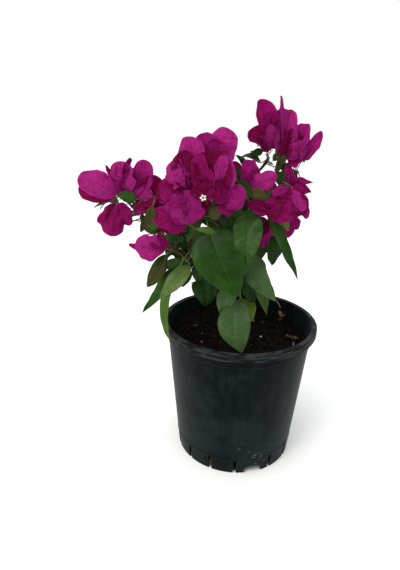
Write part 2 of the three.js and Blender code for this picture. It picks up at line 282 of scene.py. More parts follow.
def paperyBract(name, main, other):
    # bract, a thin dry coloured leaf: matt magenta with a fine crinkle, glowing where light comes through
    material, tree, place = newMaterial(name)
    mottle = addNode(tree, "TexNoise", {
        "Vector": place, "Scale": perMetre(9), "Detail": 6.0, "Roughness": 0.65})
    patches = addNode(tree, "MapRange", {"Value": mottle, "From Min": 0.36, "From Max": 0.66})
    # a net of fine veins
    net = addNode(tree, "TexVoronoi", {
        "feature": "DISTANCE_TO_EDGE", "Vector": place, "Scale": perMetre(2.6)})
    strands = addNode(tree, "MapRange", {"Value": net, "From Max": 0.12})
    return finished(material, blendColours(tree, patches, main, other), (strands, 0.35, 0.2), {
        "Roughness": 0.62,
        "IOR": 1.4,
        "Specular IOR Level": 0.05,
        "Subsurface Weight": 0.3,
        "Subsurface Radius": (1.0, 0.25, 0.7),
        "Subsurface Scale": 0.0016,
        "Sheen Weight": 0.08,
        "Sheen Roughness": 0.5,
        "Sheen Tint": linear("#e040b0")})


def greenStalk(name, main, other, roughness=0.5):
    # young shoot, still green or reddish: fine lengthwise streaks and a dull shine
    material, tree, place = newMaterial(name)
    streaks = addNode(tree, "TexNoise", {"Vector": place, "Scale": perMetre(5), "Detail": 4.0})
    return finished(material, blendColours(tree, streaks, main, other), (streaks, 0.4, 0.2),
                    {"Roughness": roughness, "IOR": 1.45})


def weatheredBark(name):
    # grey-brown bark of a young woody stem: matt, streaked lengthwise, with pale corky dots
    material, tree, place = newMaterial(name)
    drawn = addNode(tree, "Mapping", {"Vector": place, "Scale": (1.0, 1.0, 0.25)})
    streaks = addNode(tree, "TexNoise", {"Vector": drawn, "Scale": perMetre(2.2), "Detail": 6.0})
    darkness = addNode(tree, "MapRange", {"Value": streaks, "From Min": 0.35, "From Max": 0.65})
    dots = addNode(tree, "TexVoronoi", {"Vector": place, "Scale": perMetre(3.2)})
    corky = addNode(tree, "MapRange", {"Value": dots, "From Min": 0.3, "From Max": 0.16})
    colour = blendColours(tree, darkness, "#1c130c", "#4a3826")
    return finished(material, blendColours(tree, corky, colour, "#7a6a52"), (streaks, 0.7, 0.5),
                    {"Roughness": 0.88, "IOR": 1.5, "Specular IOR Level": 0.3})


knock = {"place": (0.026, -0.077, 0.024), "reach": 0.05, "core": 0.006}  # metres, on the pot's foot


def mouldedPolypropylene(name, dark, light, worn, wear, roughness, stretch=(1.0, 1.0, 0.3)):
    # recycled black polypropylene, injection moulded: satin and blotchy, with dull scuffs, a grey bloom
    # of dust where the surface turns away, and chalky chips
    material, tree, place = newMaterial(name)
    cloud = addNode(tree, "TexNoise", {
        "Vector": place, "Scale": perMetre(46), "Detail": 6.0, "Roughness": 0.6})
    # the wall is painted lighter towards its foot, a painted reflection of the floor, so the cloud's level
    # rises there
    height = addNode(tree, "SeparateXYZ", {"Vector": place}).outputs["Z"]
    paintedFloorReflection = addNode(tree, "MapRange", {
        "Value": height, "From Min": 0.15, "From Max": 0.02, "To Min": -0.07, "To Max": 0.06})
    tone = addNode(tree, "Math", {"operation": "ADD", 0: cloud, 1: paintedFloorReflection})
    blotch = addNode(tree, "MapRange", {"Value": tone, "From Min": 0.4, "From Max": 0.6})
    drawn = addNode(tree, "Mapping", {"Vector": place, "Scale": stretch})
    streaks = addNode(tree, "TexNoise", {
        "Vector": drawn, "Scale": perMetre(7), "Detail": 7.0, "Roughness": 0.62, "Distortion": 0.5})
    scuffs = addNode(tree, "MapRange", {
        "Value": streaks, "From Min": 0.46, "From Max": 0.76, "To Max": wear})
    # chips are rare all over and thick in one knocked place at the foot
    knocked = addNode(tree, "VectorMath", {"operation": "DISTANCE", 0: place, 1: knock["place"]})
    near = addNode(tree, "MapRange", {
        "Value": knocked, "From Min": knock["reach"], "From Max": knock["core"], "To Max": 0.09})
    flat = addNode(tree, "Mapping", {"Vector": place, "Scale": (0.6, 0.6, 1.4)})
    grit = addNode(tree, "TexNoise", {
        "Vector": flat, "Scale": perMetre(3.6), "Detail": 4.0, "Roughness": 0.7})
    level = addNode(tree, "Math", {"operation": "ADD", 0: grit, 1: near})
    chips = addNode(tree, "MapRange", {"Value": level, "From Min": 0.7, "From Max": 0.76, "To Max": 0.7})
    colour = blendColours(tree, blotch, dark, light)
    colour = blendColours(tree, scuffs, colour, worn)
    colour = blendColours(tree, chips, colour, "#8f9995")
    skin = addNode(tree, "TexNoise", {"Vector": place, "Scale": perMetre(1.2), "Detail": 2.0})
    dull = addNode(tree, "MapRange", {
        "Value": cloud, "To Min": roughness - 0.08, "To Max": roughness + 0.16})
    return finished(material, colour, (skin, 0.12, 0.2), {
        "Roughness": dull,
        "IOR": 1.49,
        "Specular IOR Level": 0.045,
        "Sheen Weight": 0.045,
        "Sheen Roughness": 0.36})


def crumblyPeat(name, dark, light, roughness=0.95):
    # damp peat with bark fines: almost black, matt, each crumb a little different
    material, tree, place = newMaterial(name)
    specks = addNode(tree, "TexNoise", {
        "Vector": place, "Scale": perMetre(3), "Detail": 8.0, "Roughness": 0.7})
    spread = addNode(tree, "MapRange", {"Value": specks, "From Min": 0.4, "From Max": 0.7})
    return finished(material, blendColours(tree, spread, dark, light), (specks, 0.9, 0.8),
                    {"Roughness": roughness, "Specular IOR Level": 0.08})


# blade, mottling and vein
leafColours = {
    "deep": ("#1d3f06", "#0f2701", "#26450f"),
    "green": ("#2a4711", "#1b340a", "#314e16"),
    "fresh": ("#435d1d", "#324b13", "#4b6524"),
    "grey": ("#3e5830", "#2e4623", "#456037"),
    "lime": ("#627628", "#50651c", "#6b7d30"),
    "pale": ("#566b35", "#455a27", "#637544"),
    "olive": ("#3b370e", "#2a2909", "#464119"),
    "bronze": ("#422f10", "#30230b", "#4d391b"),
}
# the bract tones are one magenta in lit and shaded copies: the lighter ones are painted light on lit faces,
# the darker ones painted shade in hollows and on hidden bracts
bractLitAndShadedColours = {
    "bright": ("#97246f", "#84195f"),
    "rose": ("#871861", "#751052"),
    "plain": ("#7b0c4e", "#680740"),
    "deep": ("#660533", "#530427"),
    "dusky": ("#7c1f5c", "#69154c"),
}
leafTones = list(leafColours)
bractTones = list(bractLitAndShadedColours)
leafMaterials = [waxyLeaf("waxy_leaf_" + tone, *leafColours[tone][:2]) for tone in leafTones]
for tone, (main, _, vein) in leafColours.items():
    leafMaterials.append(waxyLeaf("leaf_vein_" + tone, vein, main))
leafMaterials.append(waxyLeaf("matt_leaf_underside", "#3c5228", "#324821", underside=True))
bractMaterials = [paperyBract("papery_bract_" + tone, *bractLitAndShadedColours[tone]) for tone in bractTones]
bractMaterials.append(paperyBract("bract_vein", "#7a1455", "#6f114c"))


# blades: leaves and bracts are thin closed sheets with real veins, folds and wavy edges

leafBlade = {
    "belly": 0.62,      # exponent at the stalk end: smaller is rounder
    "tip": 0.98,        # exponent at the tip: above 1 draws it out
    "veins": 7,         # pairs of side veins
    "rowsBetween": 2,
    "columns": 8,       # on each side of the midrib
    "sweep": 0.2,       # how far the side veins run forward
    "veinWidth": 0.55,
    "midribWidth": 1.3,
    "veinDepth": 0.25,
    "puff": 0.22,       # swelling of the blade between veins
    "thickness": 0.35,
    "fold": 10.0,       # degrees that each half rises from the midrib
    "cup": -14.0,       # degrees of bend from midrib to edge
    "roll": 0.0,        # degrees of bend near the edge alone
    "wave": 10.0,
    "waves": 2.6,
    "sway": 0.04,       # sideways curve of the midrib, share of length
    "freeSway": True,   # to either side by chance
    "drip": 0.0,        # narrowing of the last stretch into a drawn-out tip
    "twist": 0.0,
    "droop": 0.0,       # late bend of the tip, share of length
    "crinkle": 1.3,
    "crinkleSize": 19.0,
    "pleat": 0.0,       # height of the lengthwise pleats that fan out from the stalk end
    "pleats": 1.9,      # of them on each side
    "lobing": 0.01,     # unevenness of the outline
    "edge": 0.4,        # half width at stalk and tip
}
bractBlade = dict(
    leafBlade, belly=0.46, tip=0.56, veins=6, rowsBetween=2, columns=11, sweep=0.19, veinWidth=0.35,
    midribWidth=0.7, veinDepth=0.3, puff=0.5, thickness=0.22, fold=14.0, cup=20.0, wave=26.0, waves=2.2,
    sway=0.05, crinkle=1.6, crinkleSize=11.0, pleat=0.8, lobing=0.025)


def outline(along, belly, tip):
    peak = belly / (belly + tip)
    return (along ** belly) * ((1 - along) ** tip) / (peak ** belly * (1 - peak) ** tip)

def bladeRows(veins, rowsBetween, veinShare):
    # places of the cross rows along the blade, with a narrow row for each side vein
    centres = 0.05 + 0.8 * (np.arange(veins) + 0.35) / veins
    marks = [0.0, 0.012]
    narrow = []
    for centre, following in zip(centres, [*centres[1:], 0.96]):
        narrow.append(len(marks))
        gaps = (following - centre - veinShare) * np.arange(rowsBetween + 1) / (rowsBetween + 1)
        marks += [centre - veinShare / 2, *(centre + veinShare / 2 + gaps)]
    return np.array(marks + [0.965, 1.0]), narrow


def addBlade(pile, start, end, normal, width, shape, tones, seed, bow=0.0):
    # a blade from its stalk end to its tip, normal to its upper face; tones are face, vein and underside
    rng = np.random.default_rng(seed)
    length = np.linalg.norm(end - start)
    along = (end - start) / length
    across = unit(np.cross(along, normal))
    normal = np.cross(across, along)
    marks, narrow = bladeRows(shape["veins"], shape["rowsBetween"], shape["veinWidth"] / length)
    half = shape["columns"]
    middle = min(shape["midribWidth"] / width, 0.2)
    side = middle + (1 - middle) * np.linspace(0, 1, half) ** 0.85
    t, u = np.meshgrid(marks, np.concatenate([-side[::-1], [0], side]), indexing="ij")
    reach = np.abs(u)
    tau = np.minimum(t + shape["sweep"] * 4 * t * (1 - t) * reach ** 1.2, 1)

    # half the width at each place, with an uneven edge and a drawn-out tip
    halfWidth = shape["edge"] + (width / 2 - shape["edge"]) * outline(tau, shape["belly"], shape["tip"])
    lobes = sum(np.sin(2 * math.pi * (rate * tau + rng.uniform(0, 1))) for rate in (1.7, 3.3))
    halfWidth = halfWidth * (1 + shape["lobing"] * lobes * np.sign(u)) * (1 - shape["drip"] * tau ** 9)
    stretch = reach * halfWidth

    # the bend of the sheet, summed from the midrib out to each edge
    phase = rng.uniform(0, 2 * math.pi, 2)
    sidePhase = np.where(u < 0, phase[0], phase[1])
    ripple = np.sin(2 * math.pi * shape["waves"] * tau + sidePhase)
    rolled = shape["roll"] * (1 + np.sin(7 * tau + 2 * sidePhase)) * reach ** 4
    angle = (shape["fold"] * (1 - 0.4 * tau) + shape["cup"] * reach + rolled
             + shape["wave"] * ripple * reach ** 1.5 * np.sin(math.pi * np.clip(tau, 0, 1)) ** 0.5)
    angle = np.radians(angle)
    flat = np.zeros_like(u)
    lift = np.zeros_like(u)
    for direction in (1, -1):
        order = half + direction * np.arange(half + 1)
        step = np.diff(stretch[:, order])
        mean = (angle[:, order[1:]] + angle[:, order[:-1]]) / 2
        flat[:, order[1:]] = direction * np.cumsum(step * np.cos(mean), axis=1)
        lift[:, order[1:]] = np.cumsum(step * np.sin(mean), axis=1)

    # relief: veins sunk on the upper side, the blade swelling between them
    inVein = np.zeros((len(marks), 1))
    for row in narrow:
        inVein[row:row + 2] = 1
    fade = np.sin(math.pi * np.clip(t, 0, 1)) ** 0.5
    relief = shape["puff"] * (1 - inVein) * np.sin(math.pi * np.clip(reach, 0, 1)) * fade
    relief -= shape["veinDepth"] * inVein * (1 - reach) * fade
    relief[:, half] -= shape["veinDepth"]
    local = np.stack([flat, tau * length, lift], -1)
    relief += shape["crinkle"] * smoothNoise(local, shape["crinkleSize"], seed) * reach ** 0.7 * fade
    pleats = np.sin(2 * math.pi * shape["pleats"] * reach + sidePhase + 1.5 * np.sin(3 * tau + phase[0]))
    relief += shape["pleat"] * pleats * fade * np.sqrt(reach)
    lift = lift + relief

    # the curve of the midrib
    def rise(share):
        return 4 * bow * share * (1 - share) - shape["droop"] * length * share ** 4 * (1 - share) * 8

    sway = shape["sway"] * length * (rng.choice([-1, 1]) if shape["freeSway"] else 1)
    lean = np.interp(tau, marks, np.arctan(np.gradient(rise(marks), marks * length)))
    turn = np.radians(shape["twist"]) * (tau - 0.3)
    outwardX = flat * np.cos(turn) - lift * np.sin(turn)
    outwardZ = flat * np.sin(turn) + lift * np.cos(turn)
    points = (start + along * (tau * length - outwardZ * np.sin(lean))[..., None]
              + across * (outwardX + sway * 4 * tau * (1 - tau))[..., None]
              + normal * (rise(tau) + outwardZ * np.cos(lean))[..., None])

    # two skins joined round the edge
    rows, columns = u.shape
    skin = np.cross(np.gradient(points, axis=0), np.gradient(points, axis=1))
    skin /= np.maximum(np.linalg.norm(skin, axis=2), 1e-9)[..., None]
    skin *= np.sign((skin * normal).sum(2).mean())
    thickness = shape["thickness"] * (1 - 0.5 * reach ** 3)
    thickness[:, half] *= 2.2
    below = points - skin * thickness[..., None]
    upper = gridQuads(rows, columns)
    total = rows * columns
    rowOf, columnOf = upper[:, 0] // columns, upper[:, 0] % columns
    fromMidrib = np.abs(columnOf + 0.5 - half)
    isVein = (fromMidrib < 1) | np.isin(rowOf, narrow) & (fromMidrib < half - 0.6)
    lastRow = (rows - 1) * columns
    loop = np.concatenate([np.arange(columns), np.arange(1, rows) * columns + columns - 1,
                           lastRow + np.arange(columns - 2, -1, -1), np.arange(rows - 2, 0, -1) * columns])
    nextLoop = np.roll(loop, -1)
    rim = np.stack([nextLoop, loop, loop + total, nextLoop + total], 1)
    pile.add([points, below], (upper, np.where(isVein, tones[1], tones[0])),
             (upper[:, ::-1] + total, tones[2]), (rim, tones[2]))


# limbs, read from their CAD nodes

limbNodes = ["trunk", "bough_left_lower", "bough_left_outer", "bough_centre", "bough_right_lower",
             "bough_right_upper", "bough_right_side", "bough_back", "bough_back_left"]
limbSettings = {
    "cuts": 14,
    "endBand": 1.5,      # depth of the band at either end whose middle is the limb's end
    "endGap": 1.2,       # from the ends to the first and last cut
    "facets": 1.03,      # a round limb over the mean radius of its faceted solid
    "springs": 40,       # places on each limb that a twig can spring from
    "freeShare": 0.65,   # nothing springs from below this share of the trunk
}


def limbLine(node):
    # centres and radii of cuts across a limb, from its low end to its high end
    settings = limbSettings
    points, edges = nodePoints(node), readRows(nodes[node].data.edges, "vertices", 2, int)
    low = points[points[:, 2] < points[:, 2].min() + settings["endBand"]].mean(0)
    high = points[points[:, 2] > points[:, 2].max() - settings["endBand"]].mean(0)
    heights = points @ unit(high - low)
    first, second = heights[edges[:, 0]], heights[edges[:, 1]]
    line, radii = [], []
    ends = heights.min() + settings["endGap"], heights.max() - settings["endGap"]
    for level in np.linspace(*ends, settings["cuts"]):
        cut = (first - level) * (second - level) < 0
        share = ((level - first[cut]) / (second[cut] - first[cut]))[:, None]
        ring = points[edges[cut, 0]] * (1 - share) + points[edges[cut, 1]] * share
        line.append(ring.mean(0))
        radii.append(np.linalg.norm(ring - line[-1], axis=1).mean() * settings["facets"])
    return np.array(line), np.array(radii)


limbLines = {node: limbLine(node) for node in limbNodes}
limbPlaces = np.concatenate([line for line, _ in limbLines.values()])
print("read", len(limbLines), "limbs from the frame")


class Framework:
    # the places that a new twig can spring from, each with its direction and thickness

    def __init__(self):
        self.places = np.empty((0, 3))
        self.directions = np.empty((0, 3))
        self.radii = np.empty(0)

    def add(self, route, radii):
        directions = np.gradient(route, axis=0)
        directions /= np.maximum(np.linalg.norm(directions, axis=1), 1e-9)[:, None]
        self.places = np.concatenate([self.places, route])
        self.directions = np.concatenate([self.directions, directions])
        self.radii = np.concatenate([self.radii, radii])

    def nearest(self, goal, climb=0.6):
        # a twig prefers to spring from below its goal and from wood that already heads for it
        offset = goal - self.places
        distance = np.linalg.norm(offset, axis=1)
        facing = (offset * self.directions).sum(1) / np.maximum(distance, 1e-9)
        cost = distance * (1.25 - 0.25 * facing) + climb * np.maximum(0, -offset[:, 2])
        return int(cost.argmin())


wood = Framework()
for line, radii in limbLines.values():
    springs = smoothRoute(line, limbSettings["springs"])
    keep = springs[:, 2] > placeIn("trunk", (0, 0, limbSettings["freeShare"]))[2]
    wood.add(springs[keep], stretched(radii, len(springs))[keep])


# bark: every limb as a rough tube, fused into one skin, then given ridges and leaf scars

barkSettings = {
    "rings": 70,
    "sides": 24,
    "voxel": 0.55,
    "ridge": 0.35,       # depth of the lengthwise furrows
    "ridgeWidth": 2.6,
    "ridgeDraw": 0.22,   # the furrows are drawn out along the stem, which is nearly upright
    "grit": 1.6,
    "lump": 0.27,        # slow swellings
    "lumpWidth": 11,
    "knotSpacing": 15.0,
    "knotHeight": 0.4,
    "footDepth": 3,      # of the trunk, in the soil
}


def makeBark():
    settings = barkSettings
    pile = Pile()
    for number, (node, (line, radii)) in enumerate(limbLines.items()):
        if node == "trunk":
            start = line[0] - unit(line[1] - line[0]) * settings["footDepth"]
        else:
            # the foot of a bough starts inside the limb that bears it
            others = np.concatenate([other for name, (other, _) in limbLines.items() if name != node])
            start = others[np.linalg.norm(others - line[0], axis=1).argmin()]
        route = smoothRoute([start, *line], settings["rings"])
        length = np.linalg.norm(np.diff(route, axis=0), axis=1).sum()
        along = np.linspace(0, length, len(route))
        knots = 0.5 + 0.5 * np.cos(2 * math.pi * (along / settings["knotSpacing"] + 0.37 * number))
        thick = stretched([radii[0], *radii], len(route)) * 0.96 + settings["knotHeight"] * knots ** 8
        addTube(pile, route, thick, settings["sides"],
                bumps=lambda rings: settings["lump"] * smoothNoise(rings, settings["lumpWidth"], 40))
    piece = makePiece("bark_limbs", pile, [weatheredBark("weathered_bark")], limbNodes)
    fuse = piece.modifiers.new("fuse", "REMESH")
    fuse.mode = "VOXEL"
    fuse.voxel_size = settings["voxel"] * mm
    fuse.use_smooth_shade = True
    smooth = piece.modifiers.new("smooth", "SMOOTH")
    smooth.iterations = 3
    applyModifiers(piece)
    mesh = piece.data
    points = readRows(mesh.vertices, "co", 3) / mm
    furrows = -np.abs(smoothNoise(points * vec(1, 1, settings["ridgeDraw"]), settings["ridgeWidth"], 41, 9))
    furrows += 0.5 * smoothNoise(points, settings["grit"], 42, 9)
    normals = readRows(mesh.vertex_normals, "vector", 3)
    points = points + normals * (settings["ridge"] * (furrows + 0.3))[:, None]
    mesh.vertices.foreach_set("co", (points * mm).ravel())
    mesh.update()
    print("bark skin:", len(mesh.polygons) * 2, "triangles")


def applyModifiers(piece):
    graph = bpy.context.evaluated_depsgraph_get()
    finishedMesh = bpy.data.meshes.new_from_object(piece.evaluated_get(graph))
    old = piece.data
    name = old.name
    piece.modifiers.clear()
    piece.data = finishedMesh
    bpy.data.meshes.remove(old)
    finishedMesh.name = name


makeBark()


# twigs, stalks, thorns and small leaves grow on from the limbs

twigSettings = {
    "thick": 1.25,         # radius where a twig leaves its bough
    "thin": 0.55,
    "taper": 0.012,        # radius gained for each mm of a twig's length
    "step": 2.2,           # between the rings of a twig
    "shortest": 1.5,
    "woody": 26,           # a twig longer than this has brown bark, a shorter one is green
    "nodeSpacing": 13.0,
    "nodeSwell": 0.3,
    "kink": 0.7,
    "kinkSize": 17,
    "kinkLength": 45,      # a twig shorter than this kinks less
    "thornRadius": 0.55,
    "thornLength": 5.5,
    "thornChance": 0.55,
    "leafChance": 0.5,
    "leafLength": (13, 27),
    "leafShare": 0.55,     # width as a share of length
    "leafTones": ["green", "green", "deep", "grey", "fresh", "olive"],
    "petiole": (5, 9),
    "petioleRadius": 0.42,
    "openFront": -6.0,     # seeded leaves stay behind this y, so the front keeps its gaps
    "backFrom": 14,        # leaves behind this y belong to the back piece
    "shadeLeaves": 4,      # behind each mass in front
    "shadeDepth": (14, 52),
    "shadeSeed": 22,
    "sideDepth": (8, 44),
    "sideLength": (24, 36),
    "sideSeed": 27,
    "limbSpacing": 9.0,    # between leaves straight on the limbs
    "limbLeafLength": (18, 32),
}
twigColours = {
    "brown_twig_bark": ("#2e2417", "#43351f", 0.8),
    "green_shoot": ("#3c4a20", "#4b4a24"),
    "green_petiole": ("#4f6a2f", "#5f6f38"),
    "pink_flower_stalk": ("#6c3a40", "#6f5a3c"),
}
barkTone, shootTone, petioleTone, flowerStalkTone = range(len(twigColours))
twigPile, thornPile, tubePile = Pile(), Pile(), Pile()
frontLeaves, backLeaves = Pile(), Pile()
bractPiles = {"left": Pile(), "centre": Pile(), "right": Pile(), "back": Pile()}
seeds = random.Random(7)
plantAxis = placeIn("trunk", (0.5, 0.5, 1.0))
viewSide = unit(vec(0, -1, 0.3))
sightLine = unit(vec(0, 0.93, -0.36))  # from the viewer into the crown


def outwardFrom(place):
    return unit((place - plantAxis) * vec(1, 1, 0))


def addThorn(place, direction, length):
    # a thorn is a slim cone that bends a little towards its tip
    t = np.linspace(0, 1, 6)
    route = place + np.outer(t * length, direction) + np.outer(t ** 2 * length * 0.18, -up)
    addTube(thornPile, route, twigSettings["thornRadius"] * (1 - t) ** 0.8 + 0.05, 6)


def leafPile(place):
    return backLeaves if place[1] > twigSettings["backFrom"] else frontLeaves


def leafTonesOf(name):
    tone = leafTones.index(name)
    return tone, tone + len(leafTones), 2 * len(leafTones)


smallLeaf = dict(leafBlade, veins=5, columns=6, midribWidth=0.8, veinWidth=0.35, thickness=0.3, puff=0.15,
                 crinkle=0.5, crinkleSize=8.0)


def addSmallLeaf(start, end, width, tone, seed, facing=None, **changes):
    middle = (start + end) / 2
    if facing is None:
        facing = outwardFrom(middle) + 0.9 * up
    shape = {**smallLeaf, **changes}
    bow = np.linalg.norm(end - start) * 0.06
    addBlade(leafPile(middle), start, end, facing, width, shape, leafTonesOf(tone), seed, bow)


def addPetiole(start, end, leaving, arriving):
    route = bendTo(start, end, leaving, arriving, 7)
    addTube(twigPile, route, twigSettings["petioleRadius"], 6, petioleTone)


def bendTo(start, end, startDirection, endDirection, count, pull=0.5):
    # a smooth route that leaves and arrives in the given directions
    length = np.linalg.norm(end - start)
    t = np.linspace(0, 1, count)[:, None]
    leave, arrive = startDirection * length * pull, endDirection * length * pull
    return ((1 - t) ** 2 * (1 + 2 * t) * start + t ** 2 * (3 - 2 * t) * end
            + t * (1 - t) ** 2 * leave - t ** 2 * (1 - t) * arrive)


def growTwig(goal, arrival, leafy=True, climb=0.6, arch=0.0):
    # grows one twig from the nearest wood to its goal, and becomes wood that others may spring from
    settings = twigSettings
    spring = wood.nearest(goal, climb)
    start, along = wood.places[spring], wood.directions[spring]
    distance = np.linalg.norm(goal - start)
    if distance < settings["shortest"]:
        return
    count = max(6, int(distance / settings["step"]))
    leaving = unit(along * 0.6 + unit(goal - start) + arch * up)
    route = bendTo(start, goal, leaving, unit(arrival), count, 0.8)
    shake = [smoothNoise(route, settings["kinkSize"], seeds.randrange(10 ** 6)) for _ in range(3)]
    share = np.linspace(0, 1, count)
    kink = settings["kink"] * min(1, distance / settings["kinkLength"])
    route = route + np.stack(shake, 1) * (kink * np.sin(math.pi * share))[:, None]
    thin, spacing = settings["thin"], settings["nodeSpacing"]
    first = min(settings["thick"], wood.radii[spring] * 0.8, thin + distance * settings["taper"])
    radii = first + (thin - first) * share
    swell = np.clip(1 - np.abs((share * distance % spacing) - spacing / 2) / 1.6, 0, 1)
    tone = barkTone if distance > settings["woody"] else shootTone
    addTube(twigPile, route, radii + settings["nodeSwell"] * swell, 8, tone)
    wood.add(route[2:], radii[2:])
    turn = seeds.uniform(0, 360)
    for step in range(1, int(distance / spacing) + 1):
        at = min(count - 2, int((step - 0.5) * spacing / distance * (count - 1)))
        place, direction = route[at], unit(route[at + 1] - route[at])
        turn += leafTurn
        outward = turned(unit(np.cross(direction, vec(0.2, 0.1, 1))), direction, turn)
        if seeds.random() < settings["thornChance"]:
            length = settings["thornLength"] * seeds.uniform(0.6, 1.1)
            addThorn(place, unit(outward + direction * 0.4), length)
        if leafy and place[1] > settings["openFront"] and seeds.random() < settings["leafChance"]:
            growLeaf(place, unit(outward + 0.5 * outwardFrom(place) + 0.3 * direction))


def growLeaf(place, outward, size=None, facing=None):
    settings = twigSettings
    length = size or seeds.uniform(*settings["leafLength"])
    stalk = seeds.uniform(*settings["petiole"])
    base = place + unit(outward + 0.35 * up) * stalk
    tip = base + unit(outward + vec(0, 0, seeds.uniform(-0.9, 0.3))) * length
    addPetiole(place, base, unit(outward + up * 0.6), unit(tip - base))
    tone = seeds.choice(settings["leafTones"])
    addSmallLeaf(base, tip, length * settings["leafShare"], tone, seeds.randrange(10 ** 6), facing,
                 veins=4, columns=5)


# flowers: three bracts round a short stalk, each with a slim tube flower on its midrib

smoothBlade = {"puff": 0.2, "crinkle": 0.7, "pleat": 0.4}
